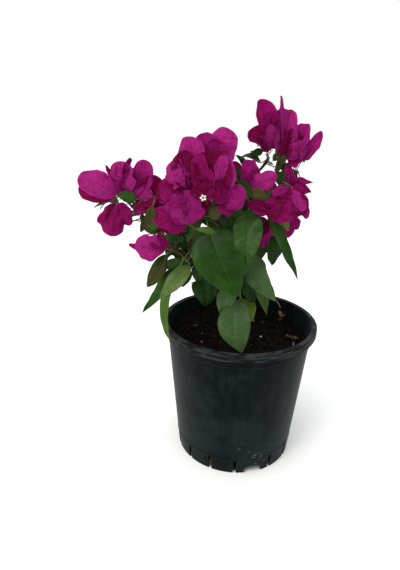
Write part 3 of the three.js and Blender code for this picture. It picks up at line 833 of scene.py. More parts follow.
# pile, mass, place of the base as a share of the mass box, then the bracts, each with the way to its
# tip in mm, width, roll, cup, bow and tone; the tone paints light and shade: a lit bract gets a lighter copy
# of the one magenta, a bract in shade a darker one; a cup above 0 shows the hollow inner face,
# and roll turns the face from the viewer's side about the bract's own length
frontFlowers = [
    ("left", "bracts_left_tip", (0.93, 0.72, 0.27), [
        ((-41, -6, 22), 31, 5, -16, 5, "bright", {"pleat": 1.3, "crinkle": 2.2}),
        ((-46, 9, 4), 27, -10, 12, 3, "deep"),
        ((-11, 0, 34), 20, 78, 20, 3, "plain")]),
    ("left", "bracts_left_upright", (0.6, 0.17, 0.08), [
        ((-3, -2, 38), 31, 0, 22, 3, "bright"),
        ((8, -3, 42), 18, 62, 24, -4, "plain"),
        ((17, 4, 28), 30, 10, 26, 3, "rose")]),
    ("left", "bracts_left_inner", (0.23, 0.23, 0.34), [
        ((9, 0, 43), 27, -10, 24, 4, "rose"),
        ((30, -4, 19), 38, 0, 34, 3, "deep"),
        ((3, -4, -19), 25, 20, -20, 2, "rose")]),
    ("left", "bracts_left_inner", (0.2, 0.02, 0.36), [
        ((19, -6, 7), 18, 0, -24, 2, "bright"),
        ((22, 6, -10), 30, 0, 20, 3, "deep"),
        ((-2, 8, 20), 26, 0, 24, 3, "plain")]),
    ("left", "bracts_left_hanging", (0.46, 0.67, 0.97), [
        ((-8, -6, -39), 34, 0, -18, 5, "plain", {"crinkle": 2.2, "belly": 0.32}),
        ((14, 0, -27), 25, 24, -24, 4, "plain", {"belly": 0.36}),
        ((-8, 4, -33), 24, -20, 20, 4, "deep")]),
    ("left", "bracts_left_low", (1.0, 0.88, 0.4), [
        ((-36, -5, 6), 33, -6, -18, 5, "bright"),
        ((-44, 2, 4), 12, 40, 20, 2, "dusky"),
        ((-17, 4, 12), 24, 30, 20, 3, "plain")]),
    ("centre", "bracts_centre_left", (0.77, 0.52, 0.31), [
        ((-23, -13, 25), 18, 10, -20, 4, "bright", smoothBlade),
        ((-7, 0, 37), 42, 0, 24, 4, "rose"),
        ((-39, -4, 14), 28, 0, 24, 5, "plain"),
        ((-33, -7, -1), 19, 14, -22, 3, "deep")]),
    ("centre", "bracts_centre_left", (0.8, 0.7, 0.34), [
        ((10, -3, 34), 19, 10, 24, 4, "deep"),
        ((-22, 6, 14), 40, 0, 20, 3, "deep"),
        ((6, 0, 44), 34, 0, 24, 3, "deep")]),
    ("centre", "bracts_centre_side", (0.87, 0.76, 0.25), [
        ((-6, 6, 56), 32, 0, 20, 5, "bright"),
        ((-12, -4, 42), 34, 0, 40, 4, "deep"),
        ((-25, -12, 30), 31, 0, -26, 6, "bright")]),
    ("centre", "bracts_centre_side", (0.84, 0.6, 0.2), [
        ((-36, 0, 3), 32, 0, 24, 4, "plain"),
        ((-25, 6, 22), 34, 0, 24, 3, "deep"),
        ((8, 6, 30), 30, 0, 24, 3, "deep")]),
    ("centre", "bracts_centre_top", (0.34, 0.19, 0.0), [
        ((16, 0, 43), 36, -6, -14, 5, "bright"),
        ((-11, 2, 37), 28, 10, 24, 4, "rose", {"tip": 0.4}),
        ((4, -6, 32), 28, 0, 28, 3, "rose")]),
    ("centre", "bracts_centre_open", (0.56, 0.39, 0.07), [
        ((-17, -6, 47), 30, -38, 30, 5, "plain"),
        ((9, -8, 46), 28, 24, 30, 5, "bright"),
        ((-2, 5, 49), 46, 0, 38, 5, "deep")]),
    ("centre", "bracts_centre_open", (0.5, 0.2, 0.02), [
        ((-23, -6, 13), 18, 0, 24, 3, "deep"),
        ((-3, -7, 24), 24, -20, 30, 3, "deep"),
        ((14, -4, 22), 26, 20, 26, 3, "plain")]),
    ("centre", "bracts_centre_lobe", (0.14, 0.84, 0.31), [
        ((27, -8, 11), 29, 0, -10, 5, "rose"),
        ((10, -6, 18), 24, -20, -28, 3, "rose"),
        ((16, -2, -11), 23, 0, 24, 3, "plain")]),
    ("right", "bracts_top_tall", (0.68, 0.47, 0.0), [
        ((-15, 1, 55), 30, 4, 46, 6, "plain", {"droop": 0.06}),
        ((-27, -3, 20), 30, 16, 34, 4, "deep"),
        ((-3, -15, 29), 32, 0, -24, 4, "bright", {"tip": 0.95, "roll": -50})]),
    ("right", "bracts_top_tall", (0.8, 0.6, 0.02), [
        ((-4, -2, 42), 26, 0, 30, 4, "deep"),
        ((12, 2, 44), 30, 10, 28, 3, "plain"),
        ((13, -8, 20), 26, 0, -24, 3, "rose")]),
    ("right", "bracts_top_middle", (0.37, 0.39, 0.13), [
        ((4, -1, 53), 30, 0, 36, 5, "bright", {"droop": 0.12}),
        ((25, -4, 38), 36, -20, 26, 4, "rose", {"tip": 0.8, "wave": 40}),
        ((-9, -2, 67), 10, 60, 20, 3, "rose", {"sway": -0.13, "freeSway": False})]),
    ("right", "bracts_top_middle", (0.45, 0.3, 0.1), [
        ((15, -8, 32), 28, 0, -26, 4, "rose", {"wave": 36}),
        ((12, -4, 9), 26, 0, 24, 3, "plain"),
        ((4, -6, 34), 30, 0, 34, 3, "deep")]),
    ("right", "bracts_top_right", (0.28, 0.67, 0.03), [
        ((21, -2, 33), 15, -10, 20, 3, "rose", {"tip": 0.6}),
        ((-8, -14, 22), 20, 0, -24, 3, "bright"),
        ((7, 2, 25), 24, 30, 24, 3, "deep")]),
    ("right", "bracts_middle_cup", (0.21, 0.22, 0.17), [
        ((2, -4, 31), 23, 8, -26, 4, "rose", smoothBlade),
        ((31, -10, 17), 23, 0, -24, 5, "bright", smoothBlade),
        ((10, -3, 22), 15, 20, 24, 3, "plain")]),
    ("right", "bracts_right_upper", (0.22, 0.17, 0.22), [
        ((-3, -2, 24), 13, 0, 30, 3, "plain"),
        ((28, 0, 5), 12, -20, 16, 3, "rose", {"tip": 1.1}),
        ((27, -2, -6), 17, 20, 20, 3, "plain", {"tip": 1.1})]),
    ("right", "bracts_right_large", (0.46, 0.6, 0.74), [
        ((-13, -9, -35), 40, 0, -26, 7, "plain", {"puff": 1.0, "veinDepth": 0.7, "wave": 34, "pleat": 1.3}),
        ((-20, -13, -2), 13, 0, -26, 3, "rose"),
        ((15, 0, -29), 26, 0, 24, 4, "deep"),
        ((-18, -12, -31), 17, -12, -20, 7, "deep", smoothBlade)]),
    ("right", "bracts_right_large", (0.51, 0.68, 0.83), [
        ((15, -12, -25), 19, 20, -26, 4, "bright"),
        ((21, -2, -36), 13, 0, 34, 3, "dusky"),
        ((8, -2, -12), 24, 10, 24, 3, "deep")]),
    ("right", "bracts_right_low", (0.31, 0.4, 0.88), [
        ((11, 0, -18), 11, -10, 24, 2, "plain"),
        ((-1, -4, -28), 12, 10, 24, 3, "rose")]),
    ("right", "bracts_right_inner", (0.55, 0.27, 0.94), [
        ((-6, -4, -35), 32, 0, -20, 5, "rose"),
        ((-18, -2, -21), 26, 20, 24, 3, "deep")]),
    ("right", "bracts_right_large", (0.0, 0.36, 0.21), [
        ((-28, -8, 9), 15, 26, 30, 3, "deep"),
        ((-22, -10, 6), 12, 10, -30, 3, "plain")]),
]
# flowers hidden behind the front ones: the mass in front and the depth behind it in mm
deepFlowers = [("bracts_centre_open", 42), ("bracts_centre_open", 66), ("bracts_centre_top", 34),
               ("bracts_centre_left", 40), ("bracts_right_large", 44),
               ("bracts_left_inner", 26), ("bracts_centre_side", 40)]
# masses with no flower in the list: in front their neighbours' bracts fill them, at the back seeded ones
filledMasses = {"centre": ["bracts_centre_upper"], "right": ["bracts_top_left"],
                "back": [name for name in nodes if name.startswith("bracts_back")]}
flowerSettings = {
    "stalk": 11.0,          # from the twig to the base of the bracts
    "stalkRadius": 0.45,
    "foot": 1.2,            # from the base to where a bract starts
    "tubeLength": (9, 13),
    "tubeRadius": 0.85,
    "tubeFrom": 24,         # a shorter bract bears no tube flower
    "opening": (24, 50),    # degrees between a seeded flower's axis and its bracts
    "bractLength": (31, 44),
    "bractShare": 0.8,      # width as a share of length
    "spacing": 22.0,        # seeded flowers per mass: one for about this much of its width
    "deepSize": 0.78,
    "frontSeed": 100,
    "deepSeed": 33,
    "starRadius": 3.9,
}
# the values of a bract's shape that are left to chance
bractChances = {"roll": (-34, 24), "waves": (1.6, 2.7), "droop": (-0.04, 0.12), "twist": (-14, 14),
                "belly": (0.4, 0.52), "tip": (0.38, 0.54)}


def addTubeFlower(base, direction, length):
    # a slim uneven tube, narrowed above its foot, closed at the mouth
    t = np.linspace(0, 1, 9)
    radius = flowerSettings["tubeRadius"] * (0.9 + 0.35 * np.cos(2 * math.pi * t * 0.9) + 0.25 * t)
    radius[-1] *= 0.4
    route = base + np.outer(t * length, direction)
    addTube(tubePile, route, radius, 10, bumps=lambda rings: 0.12 * smoothNoise(rings, 3, 5))


def addFlower(pile, base, bracts, seed):
    settings = flowerSettings
    rng = random.Random(seed)
    seeds.seed(seed)
    directions = [unit(vec(*way)) for way, *_ in bracts]
    axis = unit(np.sum(directions, axis=0) + 0.01 * up)
    leaving = unit(axis + 0.5 * up)
    stalkFoot = base - unit(axis + 0.35 * up + 0.7 * outwardFrom(base)) * settings["stalk"]
    growTwig(stalkFoot, leaving)
    addTube(twigPile, bendTo(stalkFoot, base, leaving, axis, 8), settings["stalkRadius"], 7, flowerStalkTone)
    for number, (bract, direction) in enumerate(zip(bracts, directions)):
        way, width, roll, cup, bow, tone, *changes = bract
        length = np.linalg.norm(way)
        facing = turned(viewSide - direction * (viewSide @ direction), direction, roll)
        shape = dict(bractBlade, fold=math.copysign(rng.uniform(4, 18), cup), cup=cup + rng.uniform(-5, 5))
        shape.update({name: rng.uniform(*ends) for name, ends in bractChances.items()})
        shape.update(*changes)
        face = bractTones.index(tone)
        addBlade(pile, base + direction * settings["foot"], base + direction * length, facing, width, shape,
                 (face, len(bractTones), face), rng.randrange(10 ** 6), bow)
        if number < 3 and length > settings["tubeFrom"]:
            inner = unit(direction + math.copysign(0.3, cup) * facing)
            addTubeFlower(base + inner, inner, rng.uniform(*settings["tubeLength"]))


def rollFor(direction, wanted):
    # the roll that turns a bract's face from the viewer's side to the wanted side
    first = unit(viewSide - direction * (viewSide @ direction))
    second = unit(wanted - direction * (wanted @ direction))
    return math.degrees(math.atan2(np.cross(first, second) @ direction, first @ second))


def sowFlowers(mass, count, depth=0.0, size=1.0):
    # seeded flowers in a mass, or as far behind it as depth says
    settings = flowerSettings
    centre = placeIn(mass, (0.5, 0.5, 0.5))
    for number in range(count):
        share = [(number + 0.5) / count + seeds.uniform(-0.08, 0.08), seeds.uniform(0.25, 0.5),
                 seeds.uniform(0.1, 0.35)]
        base = placeIn(mass, share) + sightLine * depth
        axis = unit(unit(centre + 10 * up - base) + 0.8 * outwardFrom(base) + 0.4 * up)
        if depth:
            axis = unit(vec(seeds.uniform(-0.6, 0.6), 1, seeds.uniform(0, 0.7)))
        side = unit(np.cross(axis, up + vec(0.1, 0, 0)))
        bracts = []
        turn = seeds.uniform(0, 120)
        for _ in range(3):
            lean = turned(side, axis, turn)
            opening = math.radians(seeds.uniform(*settings["opening"]))
            direction = unit(axis * math.cos(opening) + lean * math.sin(opening))
            turn += 120 + seeds.uniform(-14, 14)
            length = seeds.uniform(*settings["bractLength"]) * size
            # the tone is picked at random from the painted lit and shaded copies of the magenta
            bracts.append((direction * length, length * settings["bractShare"], rollFor(direction, lean),
                           -seeds.uniform(14, 34), 4, seeds.choice(bractTones)))
        addFlower(bractPiles["back"], base, bracts, seeds.randrange(10 ** 6))


for number, (side, mass, share, bracts) in enumerate(frontFlowers):
    addFlower(bractPiles[side], placeIn(mass, share), bracts, flowerSettings["frontSeed"] + number)
print("placed", len(frontFlowers), "flowers in front")
for mass in filledMasses["back"]:
    width = max((placeIn(mass, (1, 1, 1)) - placeIn(mass, (0, 0, 0)))[:2])
    sowFlowers(mass, max(1, round(width / flowerSettings["spacing"])))
seeds.seed(flowerSettings["deepSeed"])
for mass, depth in deepFlowers:
    sowFlowers(mass, 1, depth, flowerSettings["deepSize"])
print("sowed the flowers behind")


# leaves in the shade, so that the crown is deep as well as wide

shadedLeaves = ["leaf_front_large", "leaf_front_right", "leaf_wavy", "leaf_low_middle"]
# how many seeded leaves turn their faces sideways behind each large leaf
sideLeaves = {"leaf_front_large": 6, "leaf_front_right": 5, "leaf_wavy": 4, "leaf_low_middle": 2,
              "leaf_low_front": 3}


def sowLeaves(node, count):
    # seeded leaves behind a mass or a large leaf
    for _ in range(count):
        share = (seeds.uniform(0.25, 0.75), 1.0, seeds.uniform(0.3, 0.75))
        place = placeIn(node, share) + sightLine * seeds.uniform(*twigSettings["shadeDepth"])
        inward = (placeIn(node, (0.5, 1, 0.5)) - place)[0] / 12
        outward = unit(vec(inward + seeds.uniform(-0.3, 0.3), seeds.uniform(0.5, 1), 0))
        growTwig(place, unit(outward + 0.4 * up), leafy=False, arch=0.5)
        growLeaf(place, outward)


def sowSideLeaves(node, count):
    for number in range(count):
        side = 1 if number % 2 else -1
        share = (seeds.uniform(0.35, 0.65), 1.0, seeds.uniform(0.35, 0.95))
        place = placeIn(node, share) + sightLine * seeds.uniform(*twigSettings["sideDepth"])
        outward = unit(vec(side * 0.2, seeds.uniform(-0.7, 0.7), -0.7))
        growTwig(place, unit(outward + 0.8 * up), leafy=False, climb=1.2, arch=0.5)
        growLeaf(place, outward, seeds.uniform(*twigSettings["sideLength"]), vec(side, 0, 0.3))


seeds.seed(twigSettings["shadeSeed"])
frontMasses = sorted(name for name in nodes
                     if name.startswith("bracts_") and name not in filledMasses["back"])
for node in frontMasses + shadedLeaves:
    sowLeaves(node, twigSettings["shadeLeaves"])
print("filled the shade behind", len(frontMasses), "masses and", len(shadedLeaves), "leaves")


# large leaves, each on the blade of its CAD node

plainLeaf = {
    "slim": 1.0,        # width over that of the node's blade
    "longer": 1.0,      # length over that of the node's blade
    "toFront": 0.0,     # how far the face turns to the viewer
    "curl": None,       # the way that a withered tip goes on, in mm
}
leafNotes = {
    "leaf_front_large": dict(tone="deep", fold=8, cup=-18, wave=7, veins=8, columns=10, belly=0.46, tip=0.8,
                             drip=0.3, veinDepth=0.12, puff=0.12, slim=0.91, sway=0.03, freeSway=False),
    "leaf_front_right": dict(tone="green", fold=14, wave=8, belly=0.52, tip=0.86, sway=-0.02,
                             freeSway=False),
    "leaf_wavy": dict(tone="grey", fold=10, wave=34, waves=3.4, lobing=0.09, slim=0.88, tip=1.0, sway=0.06,
                      freeSway=False, curl=(6, -2, -8)),
    "leaf_curled_tip": dict(tone="fresh", fold=20, droop=0.14, slim=0.85, tip=1.2),
    "leaf_right_long": dict(tone="deep", fold=16, wave=18, tip=1.1, lobing=0.06, slim=0.78, sway=0.0,
                            longer=1.13),
    "leaf_right_small": dict(tone="deep", lobing=0.06),
    "leaf_low_front": dict(tone="grey", fold=12, wave=6, veins=8, belly=0.7, tip=0.8, sway=0.14,
                           freeSway=False, drip=0.4),
    "leaf_low_yellow": dict(tone="lime", fold=6, wave=14),
    "leaf_low_middle": dict(tone="grey", fold=22, belly=0.8, tip=1.1, slim=0.75),
    "leaf_low_left": dict(tone="deep", fold=14, wave=14),
    "leaf_left_light": dict(tone="pale", fold=18, wave=6, slim=0.85, sway=-0.12, freeSway=False),
    "leaf_left_outer": dict(tone="deep", fold=20, wave=8, tip=1.1, toFront=0.5, sway=-0.07, freeSway=False,
                            longer=1.08),
    "leaf_left_hanging": dict(tone="fresh", fold=20, wave=6, tip=0.9, belly=0.7, toFront=0.5, slim=0.75,
                              sway=0.07, freeSway=False),
    "leaf_left_small": dict(tone="deep"),
    "leaf_left_dark": dict(tone="green", fold=14),
    "leaf_top_olive": dict(tone="olive", fold=16),
    "leaf_bronze": dict(tone="olive", fold=16),
    "leaf_tip_thin": dict(tone="green", fold=20, tip=1.2),
}
narrowLeaf = dict(veins=6, columns=6, midribWidth=0.9, veinWidth=0.4)
stalkSettings = {
    "radius": 0.6,
    "footRadius": 0.9,
    "reach": 16.0,
    "points": 12,
    "narrow": 20,       # a blade of less width is a narrow leaf
    "seed": 300,
}


def readBlade(node):
    # the two ends, face, width and bow of a leaf solid
    points = nodePoints(node)
    offsets = points[:, None] - points[None]
    farthest = np.unravel_index((offsets ** 2).sum(2).argmax(), (len(points), len(points)))
    ends = [points[np.linalg.norm(points - points[end], axis=1) < 1.6].mean(0) for end in farthest]
    start, end = sorted(ends, key=lambda end: np.linalg.norm(limbPlaces - end, axis=1).min())
    along = unit(end - start)
    reach = (points - start) @ along / np.linalg.norm(end - start)
    ring = points[np.abs(reach - 0.5) < 0.09]
    across = np.linalg.svd(ring - ring.mean(0))[2][0]
    across = unit(across - along * (across @ along))
    normal = np.cross(across, along)
    side = (points - start) @ across
    lifts = (ring - start) @ normal
    middle = lifts[np.abs((ring - start) @ across) < 0.6]
    bow = (middle if len(middle) else lifts).mean()
    if bow < 0:
        normal, bow = -normal, -bow
    return start, end, normal, side.max() - side.min(), bow


def growLargeLeaf(number, node):
    settings = stalkSettings
    seed = settings["seed"] + number
    seeds.seed(seed)
    start, end, normal, width, bow = readBlade(node)
    notes = {"tone": ["green", "deep", "grey"][number % 3], **plainLeaf, **leafNotes.get(node, {})}
    width *= notes["slim"]
    end = start + (end - start) * notes["longer"]
    normal = unit(normal + notes["toFront"] * 2 * viewSide)
    shape = {**leafBlade, **notes, **(narrowLeaf if width < settings["narrow"] else {})}
    along = unit(end - start)
    stalkFoot = start + unit(-along + 0.5 * up - 0.5 * outwardFrom(start)) * settings["reach"]
    spring = wood.nearest(stalkFoot, 0.2)
    if np.linalg.norm(wood.places[spring] - start) > settings["reach"] * 1.3:
        growTwig(stalkFoot, unit(stalkFoot - wood.places[spring]) - 0.3 * up, leafy=False, arch=0.7)
        spring = wood.nearest(stalkFoot, 0.2)
    foot = wood.places[spring]
    leaving = unit(wood.directions[spring] + unit(start - foot))
    addTube(twigPile, bendTo(foot, start, leaving, along, settings["points"], 0.8),
            np.linspace(settings["footRadius"], settings["radius"], settings["points"]), 8, petioleTone)
    tones = leafTonesOf(notes["tone"])
    addBlade(leafPile((start + end) / 2), start, end, normal, width, shape, tones, seed, bow)
    if notes["curl"]:
        # the tip withers into a thin curl
        curl = bendTo(end - 3 * along, end + vec(*notes["curl"]), vec(0.9, 0, -0.3), -up, 12, 0.8)
        addTube(leafPile(end), curl, np.linspace(0.6, 0.35, 12), 6, leafTones.index("pale"))


allLeaves = [name for name in nodes if name.startswith("leaf_")]
for number, node in enumerate(sorted(allLeaves)):
    growLargeLeaf(number, node)
print("made", len(allLeaves), "large leaves")

# the smaller leaves that show between the flowers
# node, place of the leaf's foot as a share of its box, way to the tip in mm, width and tone
placedLeaves = [
    ("bough_left_outer", (0.95, 1.13, 0.27), (-28, 5, 1), 14, "deep"),
    ("bough_left_outer", (0.19, 0.04, 0.89), (-17, 0, 12), 9, "deep"),
    ("bough_left_outer", (0.36, 0.26, 0.69), (-7, 0, -20), 9, "deep"),
    ("bracts_left_inner", (0.7, -1.2, 0.3), (-8, -3, -24), 12, "olive"),
    ("bracts_left_inner", (0.26, 0.32, -0.05), (14, -3, -6), 8, "deep"),
    ("bracts_left_inner", (0.34, 0.41, -0.16), (15, -3, -15), 13, "bronze"),
    ("bracts_centre_left", (0.94, 1.43, 0.59), (-12, -15, -37), 10, "fresh"),
    ("bracts_centre_lobe", (0.23, 1.9, 0.0), (-14, -10, -11), 14, "green"),
    ("bough_centre", (1.43, 0.7, 0.77), (-16, -5, -21), 13, "deep"),
    ("bough_right_lower", (0.93, -0.5, 1.02), (14, 0, -23), 13, "green"),
    ("bough_left_lower", (0.34, -0.9, 0.89), (6, -5, -29), 13, "green"),
    ("bough_right_upper", (0.36, 0.1, 0.48), (-11, 0, 25), 11, "olive"),
    ("bracts_centre_open", (0.45, 0.4, -0.3), (14, -3, 9), 17, "olive"),
    ("bracts_centre_open", (0.2, 0.9, -0.1), (13, -3, -20), 18, "deep"),
    ("bracts_centre_open", (0.8, 1.0, -0.15), (14, -3, -30), 22, "deep"),
    ("bracts_centre_open", (0.6, 1.4, -0.1), (6, -3, -34), 20, "bronze"),
    ("bracts_centre_open", (0.19, 1.26, -0.37), (-4, -3, -24), 9, "fresh"),
    ("bracts_right_upper", (-0.13, 0.83, 0.64), (16, -5, -20), 12, "olive"),
    ("bracts_right_upper", (-0.06, 0.5, 0.67), (15, -3, -18), 14, "deep"),
    ("bracts_top_left", (0.46, 1.47, 0.0), (-14, -5, -3), 9, "deep"),
    ("bracts_top_middle", (0.16, 0.2, 0.24), (8, -8, -13), 11, "olive"),
    ("bracts_top_middle", (0.55, 0.17, 0.05), (-7, -3, -14), 12, "olive"),
    ("bracts_middle_cup", (0.7, 0.9, 0.1), (1, -8, -14), 10, "green"),
    ("bracts_middle_cup", (-0.18, 0.77, 0.93), (9, -3, -20), 12, "olive"),
    ("bracts_middle_cup", (0.66, 0.0, 0.03), (10, -3, 6), 9, "green"),
    ("bracts_right_inner", (-0.65, -0.6, 0.0), (5, -3, -50), 17, "green"),
    ("bracts_centre_lobe", (0.35, 1.5, 0.1), (24, -3, -13), 15, "deep"),
    ("bracts_centre_lobe", (0.76, 1.6, 0.94), (17, -3, -18), 12, "deep"),
    ("bracts_right_large", (-0.55, 0.5, 0.66), (23, -3, -6), 15, "olive"),
    ("bracts_right_large", (-0.2, 1.2, 0.55), (-17, -2, -13), 14, "deep"),
    ("bracts_right_large", (0.05, 1.4, 0.45), (11, -2, -22), 15, "deep"),
    ("bracts_left_upright", (1.1, -0.3, 0.0), (-21, -3, 5), 14, "green"),
    ("bracts_centre_left", (0.38, 0.8, 0.0), (24, -3, -3), 12, "deep"),
    ("bracts_centre_left", (0.1, 1.0, 0.05), (10, -3, 22), 12, "green"),
    ("bracts_right_low", (-0.1, -0.3, 0.78), (5, -3, -15), 8, "lime"),
    ("bough_left_lower", (0.21, -0.05, 0.89), (-31, -3, 12), 12, "olive"),
    ("bough_left_lower", (0.24, -0.49, 0.75), (-23, -2, 13), 13, "olive"),
    ("bough_left_lower", (0.14, 0.59, 1.24), (-23, -2, 8), 12, "green"),
    ("bracts_right_large", (-0.8, 1.23, 0.6), (29, -2, -24), 18, "deep"),
    ("bracts_right_large", (-0.82, 1.46, 0.24), (33, -2, -7), 15, "deep"),
    ("bough_left_lower", (0.02, -2.86, 1.01), (-31, -3, -7), 13, "green"),
    ("bracts_centre_left", (0.9, 1.96, 0.39), (-14, -3, -21), 10, "green"),
    ("bough_left_lower", (-1.02, -1.35, 2.02), (20, -3, -21), 10, "bronze"),
    ("bough_left_lower", (-0.56, -3.18, 1.08), (-21, -3, -34), 16, "olive"),
    ("bracts_top_middle", (0.33, 0.16, 0.16), (-8, -3, -18), 10, "olive"),
    ("leaf_front_large", (0.42, 0.87, 0.93), (-22, -1, 4), 8, "fresh"),
    ("leaf_low_left", (0.28, 1.92, 1.01), (9, 0, -24), 13, "bronze"),
    ("leaf_low_left", (0.52, 1.43, 1.41), (11, 0, -42), 15, "deep"),
    ("leaf_low_middle", (-0.07, 2.66, 1.25), (11, 0, -37), 16, "deep"),
    ("leaf_wavy", (0.09, 1.4, 0.42), (16, -2, -37), 17, "deep"),
]
placedStalk = 8  # from the twig to the leaf's foot
placedSeed = 500

for number, (node, share, way, width, tone) in enumerate(placedLeaves):
    seeds.seed(placedSeed + number)
    base, way = placeIn(node, share), vec(*way)
    direction = unit(way)
    stalkFoot = base - unit(direction - 0.6 * up + 0.8 * viewSide) * placedStalk
    growTwig(stalkFoot, direction, leafy=False, climb=0.1, arch=0.4)
    addPetiole(stalkFoot, base, unit(base - stalkFoot), direction)
    addSmallLeaf(base, base + way, width, tone, placedSeed + number, viewSide)
print("placed", len(placedLeaves), "small leaves")


seeds.seed(twigSettings["sideSeed"])
for node, count in sideLeaves.items():
    sowSideLeaves(node, count)
turn = 0.0
for line, _ in limbLines.values():
    # leaves straight on the limbs, at the sides and the back
    steps = int(np.linalg.norm(line[-1] - line[0]) / twigSettings["limbSpacing"])
    route = smoothRoute(line, max(steps, 2))
    for place, direction in zip(route, np.gradient(route, axis=0)):
        turn += leafTurn
        outward = turned(unit(np.cross(direction, vec(0.2, 0.1, 1))), unit(direction), turn)
        if outward[1] > -0.2 and place[2] > wood.places[:, 2].min():
            growLeaf(place, unit(outward + 0.3 * up), seeds.uniform(*twigSettings["limbLeafLength"]))
print("sowed the leaves behind and at the sides")


# share of the radius and lift of each ring, from the throat over the lobes and back below them
starRings = [(0.24, -1.6), (0.3, 0.0), (0.65, 0.5), (1.0, 0.2), (0.97, -0.1), (0.6, 0.1), (0.34, -0.5)]


def addStar(place, facing, radius):
    # the open mouth of a true flower: five cream lobes, each notched, round a dark throat
    lobes, steps = 5, 40
    side = unit(np.cross(facing, up))
    other = np.cross(side, facing)
    angles = np.arange(steps) * 2 * math.pi / steps
    shape = 0.74 + 0.26 * np.cos(lobes * angles) - 0.1 * np.cos(2 * lobes * angles)
    rings = []
    for share, lift in starRings:
        reach = radius * (share * shape if share > 0.4 else share)
        ring = place + facing * lift + np.outer(np.cos(angles) * reach, side)
        rings.append(ring + np.outer(np.sin(angles) * reach, other))
    closing = gridQuads(2, steps, True)
    closing = np.where(closing < steps, closing + (len(rings) - 1) * steps, closing - steps)
    faces = np.concatenate([gridQuads(len(rings), steps, True), closing])
    tubePile.add(np.array(rings), (faces, np.repeat([0] + [1] * (len(rings) - 1), steps)))


starPlace = placeIn("bracts_centre_open", (0.27, -0.3, 0.12))
addStar(starPlace, unit(viewSide + vec(0.1, 0, 0.1)), flowerSettings["starRadius"])
addTubeFlower(starPlace - viewSide * 12, viewSide, 11)

makePiece("twigs_and_stalks", twigPile, [greenStalk(name, *look) for name, look in twigColours.items()])
makePiece("thorns", thornPile, [greenStalk("hard_thorn", "#3b2c1a", "#5a4529", 0.45)])
makePiece("true_flowers", tubePile, [paperyBract("flower_tube_skin", "#8f2b66", "#7d3f55"),
                                     paperyBract("cream_flower_mouth", "#f4ecd8", "#efe3cf")])
frontNodes = [name for name in allLeaves
              if sum(corner[1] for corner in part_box(name)) / 2 <= twigSettings["backFrom"] * mm]
backNodes = [name for name in allLeaves if name not in frontNodes]
makePiece("leaves_front", frontLeaves, leafMaterials, frontNodes)
makePiece("leaves_back", backLeaves, leafMaterials, backNodes)
for side, pile in bractPiles.items():
    masses = {mass for place, mass, *_ in frontFlowers if place == side} | set(filledMasses.get(side, []))
    makePiece("bracts_" + side, pile, bractMaterials, sorted(masses))


# pot: a thin moulded shell, turned from its section, with drain slots cut through the foot

potSize = {
    "height": placeIn("pot", (0, 0, 1))[2],
    "rim": placeIn("pot", (1, 0, 0))[0],
    "mouth": 92.9,
    "shoulder": 94.4,
    "shoulderHeight": 165.0,
    "wallTop": 92.5,
    "base": 77.0,
    "channel": 12.0,        # width of the drain channel under the edge of the floor
    "channelTop": 8.0,
    "wall": 1.5,
    "floor": 1.6,
    "skirtDrop": 9.5,
    "skirtWall": 1.6,
    "lipRound": 2.2,
    "markHeight": 21.0,     # moulding line round the foot
    "flutter": 0.14,        # a thin wall is never quite round
    "flutterWidth": 60,
    "segments": 240,
}
drainSize = {
    "notchTurn": 16.0,      # degrees from the front towards +X, the twin is opposite
    "notchWidth": 23.0,
    "notchHeight": 10.5,
    "notchReach": 5.0,
    "firstSlot": 18.0,
    "slotStep": 24.0,
    "slotsPerHalf": 7,
    "slotWidth": 4.4,
    "slotHeight": 20.5,
    "slotReach": 7.0,
    "slotRound": 0.8,
}
smoothBelow = 40  # degrees: a sharper turn of the pot's skin keeps its edge


def slotTurns():
    slots = range(drainSize["slotsPerHalf"])
    first = drainSize["notchTurn"] + drainSize["firstSlot"]
    return [half + first + drainSize["slotStep"] * slot for half in (0, 180) for slot in slots]


def arc(centre, radius, fromAngle, toAngle, steps):
    angles = np.radians(np.linspace(fromAngle, toAngle, steps + 1))
    return [(centre[0] + radius * math.cos(angle), centre[1] + radius * math.sin(angle)) for angle in angles]


def lathe(pile, profile, segments, bumps, tones=0):
    # turns a section that starts and ends on the axis
    angles = np.arange(segments) * 2 * math.pi / segments
    radii, heights = np.array(profile[1:-1]).T[..., None]
    rings = np.stack([radii * np.cos(angles), radii * np.sin(angles), heights + 0 * angles], -1)
    ends = [(0, 0, height) for _, height in (profile[0], profile[-1])]
    addRings(pile, bumps(rings), ends, tones)


